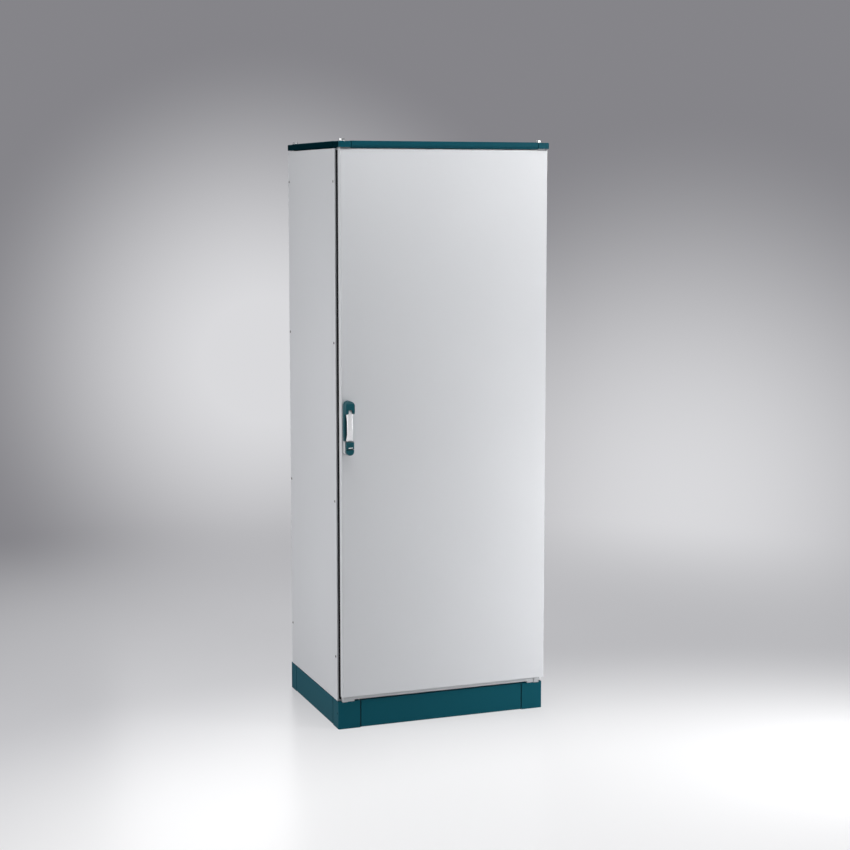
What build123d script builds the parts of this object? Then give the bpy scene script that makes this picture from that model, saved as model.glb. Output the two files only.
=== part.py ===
from build123d import *
import os
from math import acos, cos, pi, radians, sin, tan

# Floor-standing controller cabinet, in millimetres.
# X runs to the right across the front, Y from the front to the back and Z up.
# The origin is on the floor, in the middle of the plinth.

# Whole cabinet
cabinet_width = 800.0
cabinet_depth = 600.0
cabinet_height = 2100.0
half_width = cabinet_width / 2
half_depth = cabinet_depth / 2

# Clearances shared by all pieces
running_clearance = 0.05  # round a pin that turns
thread_clearance = 0.1  # round a screw or a fixed pin
near_gap = 0.3  # between faces that lie close without bearing
cut_overrun = 2.0  # how far a cutting shape runs past the face it cuts

# Plinth
plinth_height = 100.0
plinth_wall = 3.0
plinth_plate = 4.0
plinth_corner_front = 82.0
plinth_corner_side = 66.0
plinth_corner_radius = 6.0
plinth_joint = 4.0
plinth_lug = 18.0
plinth_panel_lift = 2.0
plinth_return = 24.0
anchor_radius = 7.0
anchor_inset_x = 60.0
anchor_inset_y = 44.0
tie_hole_radius = 3.5
tie_hole_back = 14.0
tie_hole_height_share = 0.56

# Bolts that hold the frame on the plinth
frame_bolt_radius = 6.0
frame_bolt_inset = 30.0
frame_bolt_head_radius = 10.0
frame_bolt_head_height = 8.0
frame_bolt_reach = 24.0

# Side and rear panels
panel_sheet = 2.0
panel_edge = 15.0
panel_return = 13.0
panel_fold = 2.0
panel_lift = 3.0
panel_top_gap = 2.0

# Panel screws
screw_radius = 2.5
screw_head_radius = 4.5
screw_head_height = 1.6
screw_length = 12.0
screw_inset = 14.0
screw_rows = 4
screw_low = 160.0
screw_high = 114.0

# Frame: base ring, posts and top ring
ring_lift = 6.0
ring_height = 46.0
ring_width = 40.0
ring_wall = 3.0
block_size = 60.0
foot_proud = 4.0
foot_width = 20.0
foot_height = 24.0
post_channel = 30.0
post_side_channel = 18.0
post_step = 20.0
post_body_x = 70.0
post_body_y = 60.0
post_wall = 2.0
post_slot_width = 10.0
post_slot_height = 16.0
post_slot_pitch = 100.0
seal_lip = 2.0
seal_lip_reach = 17.0

# Roof and its trim
trim_height = 24.0
trim_thickness = 14.0
trim_lip_width = 34.0
trim_lip_sheet = 4.0
trim_bevel_width = 7.0
trim_bevel_height = 8.0
trim_edge = 2.0
trim_overhang = 8.0
trim_joint = 2.0
roof_sheet = 2.0
roof_corner_front = 45.0
roof_corner_side = 70.0
roof_corner_radius = 10.0
roof_corner_inset = 1.0
roof_corner_lift = 1.5
roof_corner_edge = 2.0
roof_bolt_radius = 6.0
roof_bolt_inset_x = 26.0
roof_bolt_inset_front = 8.0
roof_bolt_inset_rear = 26.0
roof_bolt_head_radius = 10.0
roof_bolt_head_height = 8.0
roof_washer_radius = 12.0
roof_washer_sheet = 2.0
roof_bolt_reach = 36.0

# Floor plates and cable entry
floor_sheet = 2.0
floor_lap = 12.0
cable_slot = 64.0
cable_slot_back = 120.0
cable_strip = 12.0
cable_strip_height = 10.0

# Door leaf
door_inset = 6.0
door_standoff = 7.0
door_thickness = 22.0
door_bottom_gap = 24.0
door_top_gap = 2.5
door_sheet = 2.0
door_lip = 12.0
door_fold = 4.0

# Door seal, stiles and document pocket
seal_width = 14.0
stile_gap = 8.0
stile_width = 25.0
stile_depth = 22.0
stile_wall = 2.0
stile_end_gap = 20.0
stile_slot_width = 9.0
stile_slot_height = 14.0
stile_slot_pitch = 100.0
pocket_width = 320.0
pocket_height = 230.0
pocket_depth = 26.0
pocket_wall = 2.0
pocket_foot_share = 0.28
pocket_dip = 40.0

# Hinges
hinge_inset = 8.0
hinge_back = 3.0
hinge_radius = 6.5
hinge_pin_radius = 3.5
hinge_knuckle = 28.0
hinge_gap = 0.5
hinge_leaf = 3.0
hinge_leaf_width = 25.0
hinge_height_shares = (0.12, 0.5, 0.88)

# Swing handle
handle_inset = 23.5
handle_length = 194.0
handle_width = 32.0
handle_base_depth = 14.0
handle_depth = 35.0
handle_edge = 2.0
handle_block_length = 51.0
handle_block_depth = 21.0
handle_head_length = 47.0
handle_head_round = 10.0
handle_crown_round = 15.0
spindle_radius = 5.0
spindle_drop = 23.0
spindle_hole_gap = 2.0
spindle_grip = 6.0
lever_width = 21.0
lever_gap = 1.5
lever_edge = 2.0
lever_round = 6.0
lever_lap_share = 0.7
lever_grip = 9.0
lever_end_depth = 15.0
lever_pin_radius = 2.0
neck_width = 12.0
neck_round = 6.0
neck_gap = 0.5
button_length = 24.0
button_wall = 2.0
button_travel = 3.0
button_proud = 14.0
end_cap_proud = 13.5
end_cap_edge = 2.5

# Rod lock behind the handle
gear_module = 1.5
gear_teeth = 16
gear_pressure_angle = radians(20)
gear_addendum_share = 0.9
gear_dedendum_share = 1.2
gear_backlash = 0.3
rod_thickness = 8.0
rod_width = 8.0
rod_standoff = 4.0
rack_back = 4.0
rack_teeth_before = 2
rack_teeth_after = 6
rod_jog_rise = 30.0
rod_end_gap = 6.0
rod_nose = 2.0
lock_case_width = 40.0
lock_case_height = 96.0
lock_case_depth = 16.0
lock_case_wall = 1.5
guide_height = 18.0
guide_wall = 2.0
guide_gap = 0.5
guide_height_shares = (0.45, 0.9)
keeper_height = 26.0
keeper_wall = 3.0
keeper_gap = 1.5
keeper_end_gap = 4.0

# Mounting plate at the back
plate_sheet = 2.5
plate_flange = 12.0
plate_inset = 45.0
plate_foot_gap = 60.0
plate_head_gap = 60.0

# 19 inch rack frame
rack_hole_spacing = 465.1
rack_clear_width = 450.0
rack_sheet = 2.5
rack_flange = 30.0
rack_web = 45.0
rack_set_back = 50.0
rack_bar_height = 25.0
rack_bar_depth = 28.0
rack_bar_lap = 12.0
rack_bar_back = 14.0
rack_pitch = 44.45
rack_hole_radius = 3.2
rack_bay_share = 0.3

# Controller chassis with plug-in cards
panel_19_width = 482.6
panel_19_sheet = 3.0
chassis_unit_count = 6
chassis_width = 436.0
chassis_depth = 280.0
chassis_wall = 1.5
chassis_foot_share = 0.56
chassis_slot_count = 9
chassis_slot_width = 10.0
chassis_slot_length = 160.0
card_count = 12
card_gap = 1.0
card_panel_sheet = 2.5
card_board = 2.0
card_board_margin = 20.0
card_board_depth = 200.0
card_pull_height = 14.0
card_pull_depth = 16.0

# Power unit above the chassis
power_unit_count = 3
power_depth = 240.0
power_margin = 6.0
power_wall = 2.0
power_vent_count = 8
power_vent_width = 8.0
power_vent_pitch = 20.0
power_pull_radius = 5.0
power_pull_reach = 30.0
power_pull_inset = 26.0

# Rails, terminals, switch and earth bar on the mounting plate
rail_width = 35.0
rail_height = 7.5
rail_brim = 5.0
rail_sheet = 1.2
rail_side_gap = 55.0
rail_height_shares = (0.13, 0.25, 0.37)
terminal_count = 12
terminal_pitch = 40.0
terminal_width = 30.0
terminal_height = 58.0
terminal_depth = 44.0
terminal_step = 14.0
switch_width = 76.0
switch_height = 92.0
switch_depth = 60.0
switch_nose = 46.0
switch_edge = 4.0
knob_radius = 20.0
knob_depth = 12.0
knob_grip_width = 10.0
knob_grip_depth = 14.0
knob_stem_radius = 4.0
knob_stem_depth = 10.0
earth_bar_height = 25.0
earth_bar_sheet = 6.0
earth_bar_length = 420.0
earth_bar_drop = 70.0
earth_stud_radius = 3.3
earth_stud_count = 7
earth_foot_radius = 9.0
earth_foot_height = 20.0

# Heights and planes that the pieces share
front_plane = -half_depth
ring_bottom = plinth_height + ring_lift
ring_top = plinth_height + ring_height
trim_bottom = cabinet_height - trim_height
roof_top = cabinet_height - trim_lip_sheet
roof_under = roof_top - roof_sheet
panel_bottom = plinth_height + panel_lift
panel_top = trim_bottom - panel_top_gap
top_ring_bottom = panel_top - ring_height + panel_top_gap
side_channel_start = panel_edge + panel_sheet + near_gap
door_back = front_plane - door_standoff
door_front = door_back - door_thickness
door_skin = door_front + door_sheet
door_half = half_width - door_inset
door_bottom = plinth_height + door_bottom_gap
door_top = trim_bottom - door_top_gap
door_height = door_top - door_bottom
trim_front = door_front - trim_overhang
lip_front = front_plane - seal_lip_reach
floor_top = ring_top + floor_sheet


def block(left, right, front, back, bottom, top):
    """A box between two opposite corners."""
    middle = Pos((left + right) / 2, (front + back) / 2, (bottom + top) / 2)
    return middle * Box(abs(right - left), abs(back - front), abs(top - bottom))


def outline_face(points):
    return make_face(Polyline(*points, close=True))


def upright(points, bottom, top):
    """An outline in X and Y, carried upwards."""
    return extrude(Pos(0, 0, bottom) * outline_face(points), top - bottom, dir=(0, 0, 1))


def crosswise(points, left, right):
    """An outline in Y and Z, carried to the right."""
    return extrude(Pos(left, 0, 0) * (Plane.YZ * outline_face(points)), right - left, dir=(1, 0, 0))


def backwards(points, front, back):
    """An outline in X and Z, carried from front to back."""
    return extrude(Pos(0, front, 0) * (Plane.XZ * outline_face(points)), back - front, dir=(0, 1, 0))


def pin_x(radius, y, z, left, right):
    return Pos((left + right) / 2, y, z) * Rot(0, 90, 0) * Cylinder(radius, right - left)


def pin_y(radius, x, z, front, back):
    return Pos(x, (front + back) / 2, z) * Rot(90, 0, 0) * Cylinder(radius, back - front)


def pin_z(radius, x, y, bottom, top):
    return Pos(x, y, (bottom + top) / 2) * Cylinder(radius, top - bottom)


def at_corner(points, side, end):
    """Turns insets from a side and an end of the footprint into X and Y."""
    return [(side * (half_width - u), end * (half_depth - v)) for u, v in points]


def corner_block(u0, u1, v0, v1, bottom, top, side, end):
    (x0, y0), (x1, y1) = at_corner([(u0, v0), (u1, v1)], side, end)
    return block(x0, x1, y0, y1, bottom, top)


def hexagon(radius, bottom, top, x, y):
    return Pos(x, y, bottom) * extrude(RegularPolygon(radius, 6), top - bottom)


def even_places(low, high, count):
    return [low + (high - low) * i / (count - 1) for i in range(count)]


def group(solids):
    return Compound(list(solids))


corners = {
    "front_left": (-1, -1),
    "front_right": (1, -1),
    "rear_left": (-1, 1),
    "rear_right": (1, 1),
}


# Plinth

def plinth_corner(side, end):
    """A pressed corner: two walls with a rounded edge, a foot plate and a top plate."""
    shell = corner_block(0, plinth_corner_front, 0, plinth_corner_side, 0, plinth_height, side, end)
    corner = (side * half_width, end * half_depth, 0)
    outer_edge = shell.edges().filter_by(Axis.Z).sort_by_distance(corner)[0]
    shell = fillet(outer_edge, plinth_corner_radius)
    room = corner_block(
        plinth_wall, plinth_corner_front + cut_overrun, plinth_wall, plinth_corner_side + cut_overrun,
        plinth_plate, plinth_height - plinth_plate, side, end,
    )
    anchor_x, anchor_y = at_corner([(anchor_inset_x, anchor_inset_y)], side, end)[0]
    anchor = pin_z(anchor_radius, anchor_x, anchor_y, -cut_overrun, plinth_plate + cut_overrun)
    bolt_x, bolt_y = at_corner([(frame_bolt_inset, frame_bolt_inset)], side, end)[0]
    bolt = pin_z(
        frame_bolt_radius + thread_clearance, bolt_x, bolt_y,
        plinth_height - plinth_plate - cut_overrun, plinth_height + cut_overrun,
    )
    wall_x = side * half_width
    tie = pin_x(
        tie_hole_radius, end * (half_depth - tie_hole_back), plinth_height * tie_hole_height_share,
        wall_x - plinth_wall - cut_overrun, wall_x + plinth_wall + cut_overrun,
    )
    return shell - room - anchor - bolt - tie


def plinth_panel(length, face):
    """A folded panel along X with its skin at the given Y and a lug at each end behind the corner's wall."""
    half = length / 2
    inward = -1 if face > 0 else 1
    skin_back = face + inward * plinth_wall
    channel = [
        (face, plinth_panel_lift),
        (face + inward * plinth_return, plinth_panel_lift),
        (face + inward * plinth_return, plinth_panel_lift + plinth_wall),
        (skin_back, plinth_panel_lift + plinth_wall),
        (skin_back, plinth_height - plinth_wall),
        (face + inward * plinth_return, plinth_height - plinth_wall),
        (face + inward * plinth_return, plinth_height),
        (face, plinth_height),
    ]
    panel = crosswise(channel, -half, half)
    for way in (-1, 1):
        root = way * (half - plinth_lug)
        tip = way * (half + plinth_joint + plinth_lug)
        panel += block(
            root, tip, skin_back, skin_back + inward * plinth_wall,
            plinth_plate + near_gap, plinth_height - plinth_plate - near_gap,
        )
    return panel


def frame_bolt(side, end):
    x, y = at_corner([(frame_bolt_inset, frame_bolt_inset)], side, end)[0]
    seat = plinth_height - plinth_plate
    head = hexagon(frame_bolt_head_radius, seat - frame_bolt_head_height, seat, x, y)
    return head + pin_z(frame_bolt_radius, x, y, seat, plinth_height + frame_bolt_reach)


# Frame

# At each end of the cabinet: how far in the frame's face lies, and how far in from the side it starts.
frame_faces = {-1: (0, panel_edge), 1: (panel_sheet, side_channel_start)}


def post_outline(end, inset, lip_reach):
    """A rolled section: a channel to the front, a channel to the side and a square body behind them."""
    t = inset
    face, edge = frame_faces[end]
    inner = [
        (edge + t, face + t),
        (panel_edge + post_channel - t, face + t),
        (panel_edge + post_channel - t, post_step + t),
    ]
    lip = [
        (post_body_x - seal_lip, post_step),
        (post_body_x - seal_lip, -lip_reach),
        (post_body_x, -lip_reach),
    ]
    outer = [
        (post_body_x - t, post_body_y - t),
        (post_step + t, post_body_y - t),
        (post_step + t, side_channel_start + post_side_channel - t),
        (panel_sheet + t, side_channel_start + post_side_channel - t),
        (panel_sheet + t, side_channel_start + t),
        (edge + t, side_channel_start + t),
    ]
    middle = lip if lip_reach else [(post_body_x - t, post_step + t)]
    return inner + middle + outer


def panel_screw_heights():
    return even_places(panel_bottom + screw_low, panel_top - screw_high, screw_rows)


def frame_post(side, end):
    reach = seal_lip_reach if end < 0 else 0
    post = upright(at_corner(post_outline(end, 0, reach), side, end), ring_top, top_ring_bottom)
    post -= upright(
        at_corner(post_outline(end, post_wall, 0), side, end),
        ring_top - cut_overrun, top_ring_bottom + cut_overrun,
    )
    slot_middle = (post_step + post_body_y) / 2
    count = int((top_ring_bottom - ring_top) // post_slot_pitch)
    for row in range(count):
        height = ring_top + post_slot_pitch * (row + 1 / 2)
        post -= corner_block(
            post_body_x - post_wall - cut_overrun, post_body_x + cut_overrun,
            slot_middle - post_slot_width / 2, slot_middle + post_slot_width / 2,
            height - post_slot_height / 2, height + post_slot_height / 2, side, end,
        )
    holes = [screw_shape(side, end, height, thread_clearance) for height in panel_screw_heights()]
    if end > 0:
        holes += [rear_screw_shape(side, height, thread_clearance) for height in panel_screw_heights()]
    return post - holes


def frame_ring(bottom, top, block_bottom, lip_bottom):
    """A welded ring of channels, open to the inside, with corner blocks and a sealing lip in front."""
    ring = None
    for end, (face, _) in frame_faces.items():
        beam = corner_block(block_size, cabinet_width - block_size, face, ring_width, bottom, top, -1, end)
        beam -= corner_block(
            block_size, cabinet_width - block_size, face + ring_wall, ring_width + cut_overrun,
            bottom + ring_wall, top - ring_wall, -1, end)
        ring = beam if ring is None else ring + beam
    for side in (-1, 1):
        beam = corner_block(
            panel_sheet, ring_width, block_size, cabinet_depth - block_size, bottom, top, side, -1)
        beam -= corner_block(
            panel_sheet + ring_wall, ring_width + cut_overrun, block_size, cabinet_depth - block_size,
            bottom + ring_wall, top - ring_wall, side, -1)
        ring += beam
    for side, end in corners.values():
        face, edge = frame_faces[end]
        outline = [
            (edge, face),
            (block_size, face),
            (block_size, block_size),
            (panel_sheet, block_size),
            (panel_sheet, side_channel_start),
            (edge, side_channel_start),
        ]
        ring += upright(at_corner(outline, side, end), block_bottom, top)
    lip_half = half_width - post_body_x + seal_lip
    return ring + block(-lip_half, lip_half, lip_front, front_plane, lip_bottom, lip_bottom + seal_lip)


def base_frame():
    ring = frame_ring(ring_bottom, ring_top, plinth_height, ring_top - seal_lip)
    for side in (-1, 1):
        ring += corner_block(
            panel_edge, panel_edge + foot_width, -foot_proud, 0,
            plinth_height, plinth_height + foot_height, side, -1)
    for side, end in corners.values():
        x, y = at_corner([(frame_bolt_inset, frame_bolt_inset)], side, end)[0]
        ring -= pin_z(
            frame_bolt_radius + thread_clearance, x, y, plinth_height - cut_overrun,
            plinth_height + frame_bolt_reach + cut_overrun)
    return ring


def roof_bolt_place(side, end):
    inset = roof_bolt_inset_front if end < 0 else roof_bolt_inset_rear
    return at_corner([(roof_bolt_inset_x, inset)], side, end)[0]


def roof_bolt_places():
    return [roof_bolt_place(side, end) for side, end in corners.values()]


def top_frame():
    """The upper ring, with a boss on each corner block that carries the roof."""
    ring = frame_ring(top_ring_bottom, panel_top, top_ring_bottom, top_ring_bottom)
    inset = trim_thickness + roof_sheet + near_gap
    for side, end in corners.values():
        face = 0 if end < 0 else inset
        ring += corner_block(inset, block_size, face, block_size, panel_top, roof_under, side, end)
    for x, y in roof_bolt_places():
        ring -= pin_z(
            roof_bolt_radius + thread_clearance, x, y, roof_under - roof_bolt_reach - cut_overrun,
            roof_under + cut_overrun)
    return ring


# Panels and their screws

def screw_shape(side, end, height, clearance):
    """A side panel's screw, or the hole for its shank when a clearance is given."""
    y = end * (half_depth - panel_edge - screw_inset)
    outer = side * half_width
    shank = pin_x(
        screw_radius + clearance, y, height, min(outer, outer - side * screw_length),
        max(outer, outer - side * screw_length))
    if clearance:
        return shank
    tip = outer + side * screw_head_height
    return shank + pin_x(screw_head_radius, y, height, min(outer, tip), max(outer, tip))


def rear_screw_shape(side, height, clearance):
    x = side * (half_width - panel_edge - screw_inset)
    shank = pin_y(screw_radius + clearance, x, height, half_depth - screw_length, half_depth)
    if clearance:
        return shank
    return shank + pin_y(screw_head_radius, x, height, half_depth, half_depth + screw_head_height)


def folded_panel(first, last):
    """A tray section between two insets, with a skin, returned edges and rounded folds."""
    inner = panel_sheet
    return [
        (first, panel_return),
        (first, panel_fold),
        (first + panel_fold, 0),
        (last - panel_fold, 0),
        (last, panel_fold),
        (last, panel_return),
        (last - inner, panel_return),
        (last - inner, inner),
        (first + inner, inner),
        (first + inner, panel_return),
    ]


def tray_face(points):
    """The tray outline with its two folds drawn as arcs."""
    first_end, first_fold, first_flat, last_flat, last_fold, last_end = points[:6]
    fold = panel_fold * (1 - cos(pi / 4))
    first_mid = (points[0][0] + fold, fold)
    last_mid = (points[5][0] - fold, fold)
    edges = [
        Line(first_end, first_fold),
        ThreePointArc(first_fold, first_mid, first_flat),
        Line(first_flat, last_flat),
        ThreePointArc(last_flat, last_mid, last_fold),
        Line(last_fold, last_end),
    ]
    corner_points = points[5:] + points[:1]
    edges += [Line(a, b) for a, b in zip(corner_points, corner_points[1:])]
    return make_face(edges)


def side_panel(side):
    face = tray_face(folded_panel(panel_edge - half_depth, half_depth - panel_edge))
    panel = extrude(face, panel_top - panel_bottom, dir=(0, 0, 1))
    panel = Pos(-half_width, 0, panel_bottom) * Rot(0, 0, 90) * mirror(panel, about=Plane.XZ)
    panel = panel if side < 0 else mirror(panel, about=Plane.YZ)
    return panel - [
        screw_shape(side, end, height, thread_clearance)
        for end in (-1, 1) for height in panel_screw_heights()
    ]


def rear_panel():
    face = tray_face(folded_panel(panel_edge - half_width, half_width - panel_edge))
    panel = extrude(face, panel_top - panel_bottom, dir=(0, 0, 1))
    panel = Pos(0, half_depth, panel_bottom) * mirror(panel, about=Plane.XZ)
    return panel - [
        rear_screw_shape(side, height, thread_clearance)
        for side in (-1, 1) for height in panel_screw_heights()
    ]


def panel_screws():
    screws = []
    for height in panel_screw_heights():
        screws += [screw_shape(side, end, height, 0) for side, end in corners.values()]
        screws += [rear_screw_shape(side, height, 0) for side in (-1, 1)]
    return group(screws)


# Roof

def roof_panel():
    """A shallow upturned tray that rests on the corner blocks and carries the trim round its skirt."""
    left = trim_thickness - half_width
    front = trim_front + trim_thickness
    back = half_depth - trim_thickness
    tray = block(left, -left, front, back, trim_bottom, roof_top)
    tray -= block(
        left + roof_sheet, -left - roof_sheet, front + roof_sheet, back - roof_sheet,
        trim_bottom - cut_overrun, roof_under)
    for x, y in roof_bolt_places():
        tray -= pin_z(
            roof_bolt_radius + thread_clearance, x, y, roof_under - cut_overrun, roof_top + cut_overrun)
    return tray


def trim_outline(face, inward):
    """The trim's section: an outer wall bevelled below, with a lip over the roof sheet."""
    return [
        (face, trim_bottom + trim_bevel_height),
        (face, cabinet_height - trim_edge),
        (face + inward * trim_edge, cabinet_height),
        (face + inward * trim_lip_width, cabinet_height),
        (face + inward * trim_lip_width, roof_top),
        (face + inward * trim_thickness, roof_top),
        (face + inward * trim_thickness, trim_bottom),
        (face + inward * trim_bevel_width, trim_bottom),
    ]


def trim_rail_x(end):
    face = trim_front if end < 0 else half_depth
    half = half_width - roof_corner_front - trim_joint
    return crosswise(trim_outline(face, -end), -half, half)


def trim_rail_y(side):
    front = trim_front + roof_corner_side + trim_joint
    back = half_depth - roof_corner_side - trim_joint
    return backwards(trim_outline(side * half_width, -side), front, back)


def trim_corner(side, end):
    """A moulded corner with a rounded edge, hollowed over the roof's corner and bored for its bolt."""
    face = trim_front if end < 0 else half_depth
    top = cabinet_height - roof_corner_inset
    x0 = side * (half_width - roof_corner_inset)
    x1 = side * (half_width - roof_corner_front)
    y0 = face - end * roof_corner_inset
    y1 = face - end * roof_corner_side
    cap = block(x0, x1, y0, y1, trim_bottom + roof_corner_lift, top)
    cap = fillet(cap.edges().filter_by(Axis.Z).sort_by_distance((x0, y0, top))[0], roof_corner_radius)
    cap = chamfer(cap.faces().sort_by(Axis.Z)[-1].outer_wire().edges(), roof_corner_edge)
    cap -= block(
        side * (half_width - trim_thickness), x1 - side * cut_overrun,
        face - end * trim_thickness, y1 - end * cut_overrun, trim_bottom, roof_top)
    x, y = roof_bolt_place(side, end)
    return cap - pin_z(roof_bolt_radius + thread_clearance, x, y, roof_top - cut_overrun, top + cut_overrun)


def roof_bolt(x, y):
    seat = cabinet_height - roof_corner_inset
    washer_top = seat + roof_washer_sheet
    bolt = pin_z(roof_washer_radius, x, y, seat, washer_top)
    bolt += hexagon(roof_bolt_head_radius, washer_top, washer_top + roof_bolt_head_height, x, y)
    return bolt + pin_z(roof_bolt_radius, x, y, roof_under - roof_bolt_reach, seat)


# Floor

def floor_plate(end, inner_edge):
    """A plate on the base ring with notches for two posts, reaching from one end to the cable slot."""
    wide = half_width - ring_width + floor_lap
    narrow = half_width - post_body_x - cut_overrun
    outer = end * (half_depth - ring_width + floor_lap)
    notch = end * (half_depth - post_body_y - cut_overrun)
    points = [
        (-narrow, outer), (narrow, outer), (narrow, notch), (wide, notch),
        (wide, inner_edge), (-wide, inner_edge), (-wide, notch), (-narrow, notch),
    ]
    return upright(points, ring_top, floor_top)


cable_front = cable_slot_back - cable_slot / 2
cable_back = cable_slot_back + cable_slot / 2


def cable_strips():
    """Foam strips on the two edges of the cable slot, grooved to grip the plates."""
    half = half_width - ring_width
    strips = []
    for edge, into in ((cable_front, 1), (cable_back, -1)):
        low = ring_top - (cable_strip_height - floor_sheet) / 2
        strip = block(
            -half, half, edge - into * cable_strip / 2,
            edge + into * cable_strip / 2, low, low + cable_strip_height)
        strips.append(strip - block(
            -half - cut_overrun, half + cut_overrun, edge - into * cable_strip, edge, ring_top, floor_top))
    return group(strips)


# Door

def door_leaf():
    """A folded tray with rounded front edges and a lip turned in round the back."""
    leaf = block(-door_half, door_half, door_front, door_back, door_bottom, door_top)
    leaf = fillet(leaf.faces().sort_by(Axis.Y)[0].outer_wire().edges(), door_fold)
    leaf -= block(
        door_sheet - door_half, door_half - door_sheet, door_skin, door_back - door_sheet,
        door_bottom + door_sheet, door_top - door_sheet)
    leaf -= block(
        door_lip - door_half, door_half - door_lip, door_skin, door_back + cut_overrun,
        door_bottom + door_lip, door_top - door_lip)
    spindle = pin_y(
        spindle_radius + spindle_hole_gap, handle_x, spindle_z,
        door_front - cut_overrun, door_skin + cut_overrun)
    return leaf - spindle


seal_half = half_width - post_body_x + seal_lip / 2
seal_low = ring_top - seal_lip / 2
seal_high = top_ring_bottom + seal_lip / 2


def door_seal():
    """Foam poured on the door's skin, opposite the frame's sealing lip."""
    back = lip_front - near_gap
    reach = seal_width / 2
    ring = block(-seal_half - reach, seal_half + reach, door_skin, back, seal_low - reach, seal_high + reach)
    return ring - block(
        reach - seal_half, seal_half - reach, door_skin - cut_overrun, back + cut_overrun,
        seal_low + reach, seal_high - reach)


stile_outer = seal_half - seal_width / 2 - stile_gap
stile_low = seal_low + seal_width / 2 + stile_end_gap
stile_high = seal_high - seal_width / 2 - stile_end_gap


def door_stile(side):
    """A perforated square tube down the inside of the door."""
    inner = stile_outer - stile_width
    back = door_skin + stile_depth
    tube = block(side * inner, side * stile_outer, door_skin, back, stile_low, stile_high)
    tube -= block(
        side * (inner + stile_wall), side * (stile_outer - stile_wall),
        door_skin + stile_wall, back - stile_wall,
        stile_low - cut_overrun, stile_high + cut_overrun)
    middle = side * (inner + stile_outer) / 2
    for row in range(int((stile_high - stile_low) // stile_slot_pitch)):
        height = stile_low + stile_slot_pitch * (row + 1 / 2)
        tube -= block(
            middle - stile_slot_width / 2, middle + stile_slot_width / 2, back - stile_wall - cut_overrun,
            back + cut_overrun, height - stile_slot_height / 2, height + stile_slot_height / 2)
    return tube


pocket_low = door_bottom + door_height * pocket_foot_share


def document_pocket():
    """A tray for drawings on the inside of the door, open above, with a dip in its outer wall."""
    half = pocket_width / 2
    back = door_skin + pocket_depth
    tray = block(-half, half, door_skin, back, pocket_low, pocket_low + pocket_height)
    tray -= block(
        pocket_wall - half, half - pocket_wall, door_skin + pocket_wall, back - pocket_wall,
        pocket_low + pocket_wall, pocket_low + pocket_height + cut_overrun)
    rim = pocket_low + pocket_height
    dip = [
        (-half / 2, rim + cut_overrun), (-half / 2 + pocket_dip, rim - pocket_dip),
        (half / 2 - pocket_dip, rim - pocket_dip), (half / 2, rim + cut_overrun),
    ]
    return tray - backwards(dip, back - pocket_wall - cut_overrun, back + cut_overrun)


# Hinges

hinge_x = half_width - hinge_inset
hinge_y = front_plane + hinge_back


def hinge_heights():
    return [door_bottom + door_height * share for share in hinge_height_shares]


def hinge_frame_leaf(height):
    """The lower knuckle with its leaf on the post's front face."""
    knuckle = pin_z(hinge_radius, hinge_x, hinge_y, height - hinge_knuckle, height)
    post_edge = half_width - panel_edge
    leaf = block(
        post_edge - hinge_leaf_width, hinge_x, front_plane - hinge_leaf,
        front_plane, height - hinge_knuckle, height)
    bore = pin_z(
        hinge_pin_radius + thread_clearance, hinge_x, hinge_y,
        height - hinge_knuckle, height + cut_overrun)
    floor = pin_z(
        hinge_pin_radius * 2, hinge_x, hinge_y,
        height - hinge_knuckle, height - hinge_knuckle + hinge_leaf)
    return knuckle + leaf - (bore - floor)


def hinge_door_leaf(height):
    """The upper knuckle with its leaf on the door's rear lip."""
    low = height + hinge_gap
    knuckle = pin_z(hinge_radius, hinge_x, hinge_y, low, low + hinge_knuckle)
    leaf = block(
        door_half - door_lip, door_half, door_back, door_back + hinge_leaf, low, low + hinge_knuckle)
    web = block(
        hinge_x - hinge_pin_radius, door_half, door_back, hinge_y, low, low + hinge_knuckle)
    bore = pin_z(
        hinge_pin_radius + running_clearance, hinge_x, hinge_y,
        low - cut_overrun, low + hinge_knuckle + cut_overrun)
    return knuckle + leaf + web - bore


def hinge_pin(height):
    return pin_z(
        hinge_pin_radius, hinge_x, hinge_y, height - hinge_knuckle + hinge_leaf, height + hinge_knuckle)


# Swing handle

handle_x = handle_inset - door_half
handle_middle = (door_bottom + door_top) / 2
handle_top = handle_middle + handle_length / 2
handle_bottom = handle_middle - handle_length / 2
spindle_z = handle_top - spindle_drop
handle_half = handle_width / 2
base_front = door_front - handle_base_depth
block_front = door_front - handle_block_depth
block_top = handle_bottom + handle_block_length
handle_front = door_front - handle_depth
head_bottom = handle_top - handle_head_length
lever_pin_y = handle_front + handle_head_round
lever_pin_z = head_bottom + handle_head_round
lever_bottom = block_top + lever_gap
button_top = block_top - button_wall
button_bottom = button_top - button_length
button_half = handle_half - button_wall
button_rest = block_front + button_travel + near_gap


def stadium(half, bottom, top, front, back):
    """A bar with half-round ends, standing upright and carried from front to back."""
    bar = SlotCenterToCenter(top - bottom - 2 * half, 2 * half, rotation=90)
    face = Pos(handle_x, front, (bottom + top) / 2) * (Plane.XZ * bar)
    return extrude(face, back - front, dir=(0, 1, 0))


def handle_base():
    """The grey base: a long low bar with a deeper block at its foot, pocketed for the release button."""
    base = stadium(handle_half, handle_bottom, handle_top, base_front, door_front)
    deep = stadium(handle_half, handle_bottom, handle_top, block_front, door_front)
    base += deep & block(
        handle_x - handle_width, handle_x + handle_width, block_front, door_front, handle_bottom, block_top)
    base -= pin_y(
        spindle_radius + running_clearance, handle_x, spindle_z,
        base_front - cut_overrun, door_front + cut_overrun)
    return base - block(
        handle_x - button_half, handle_x + button_half,
        block_front - cut_overrun, button_rest + button_travel,
        button_bottom, button_top)


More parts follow.
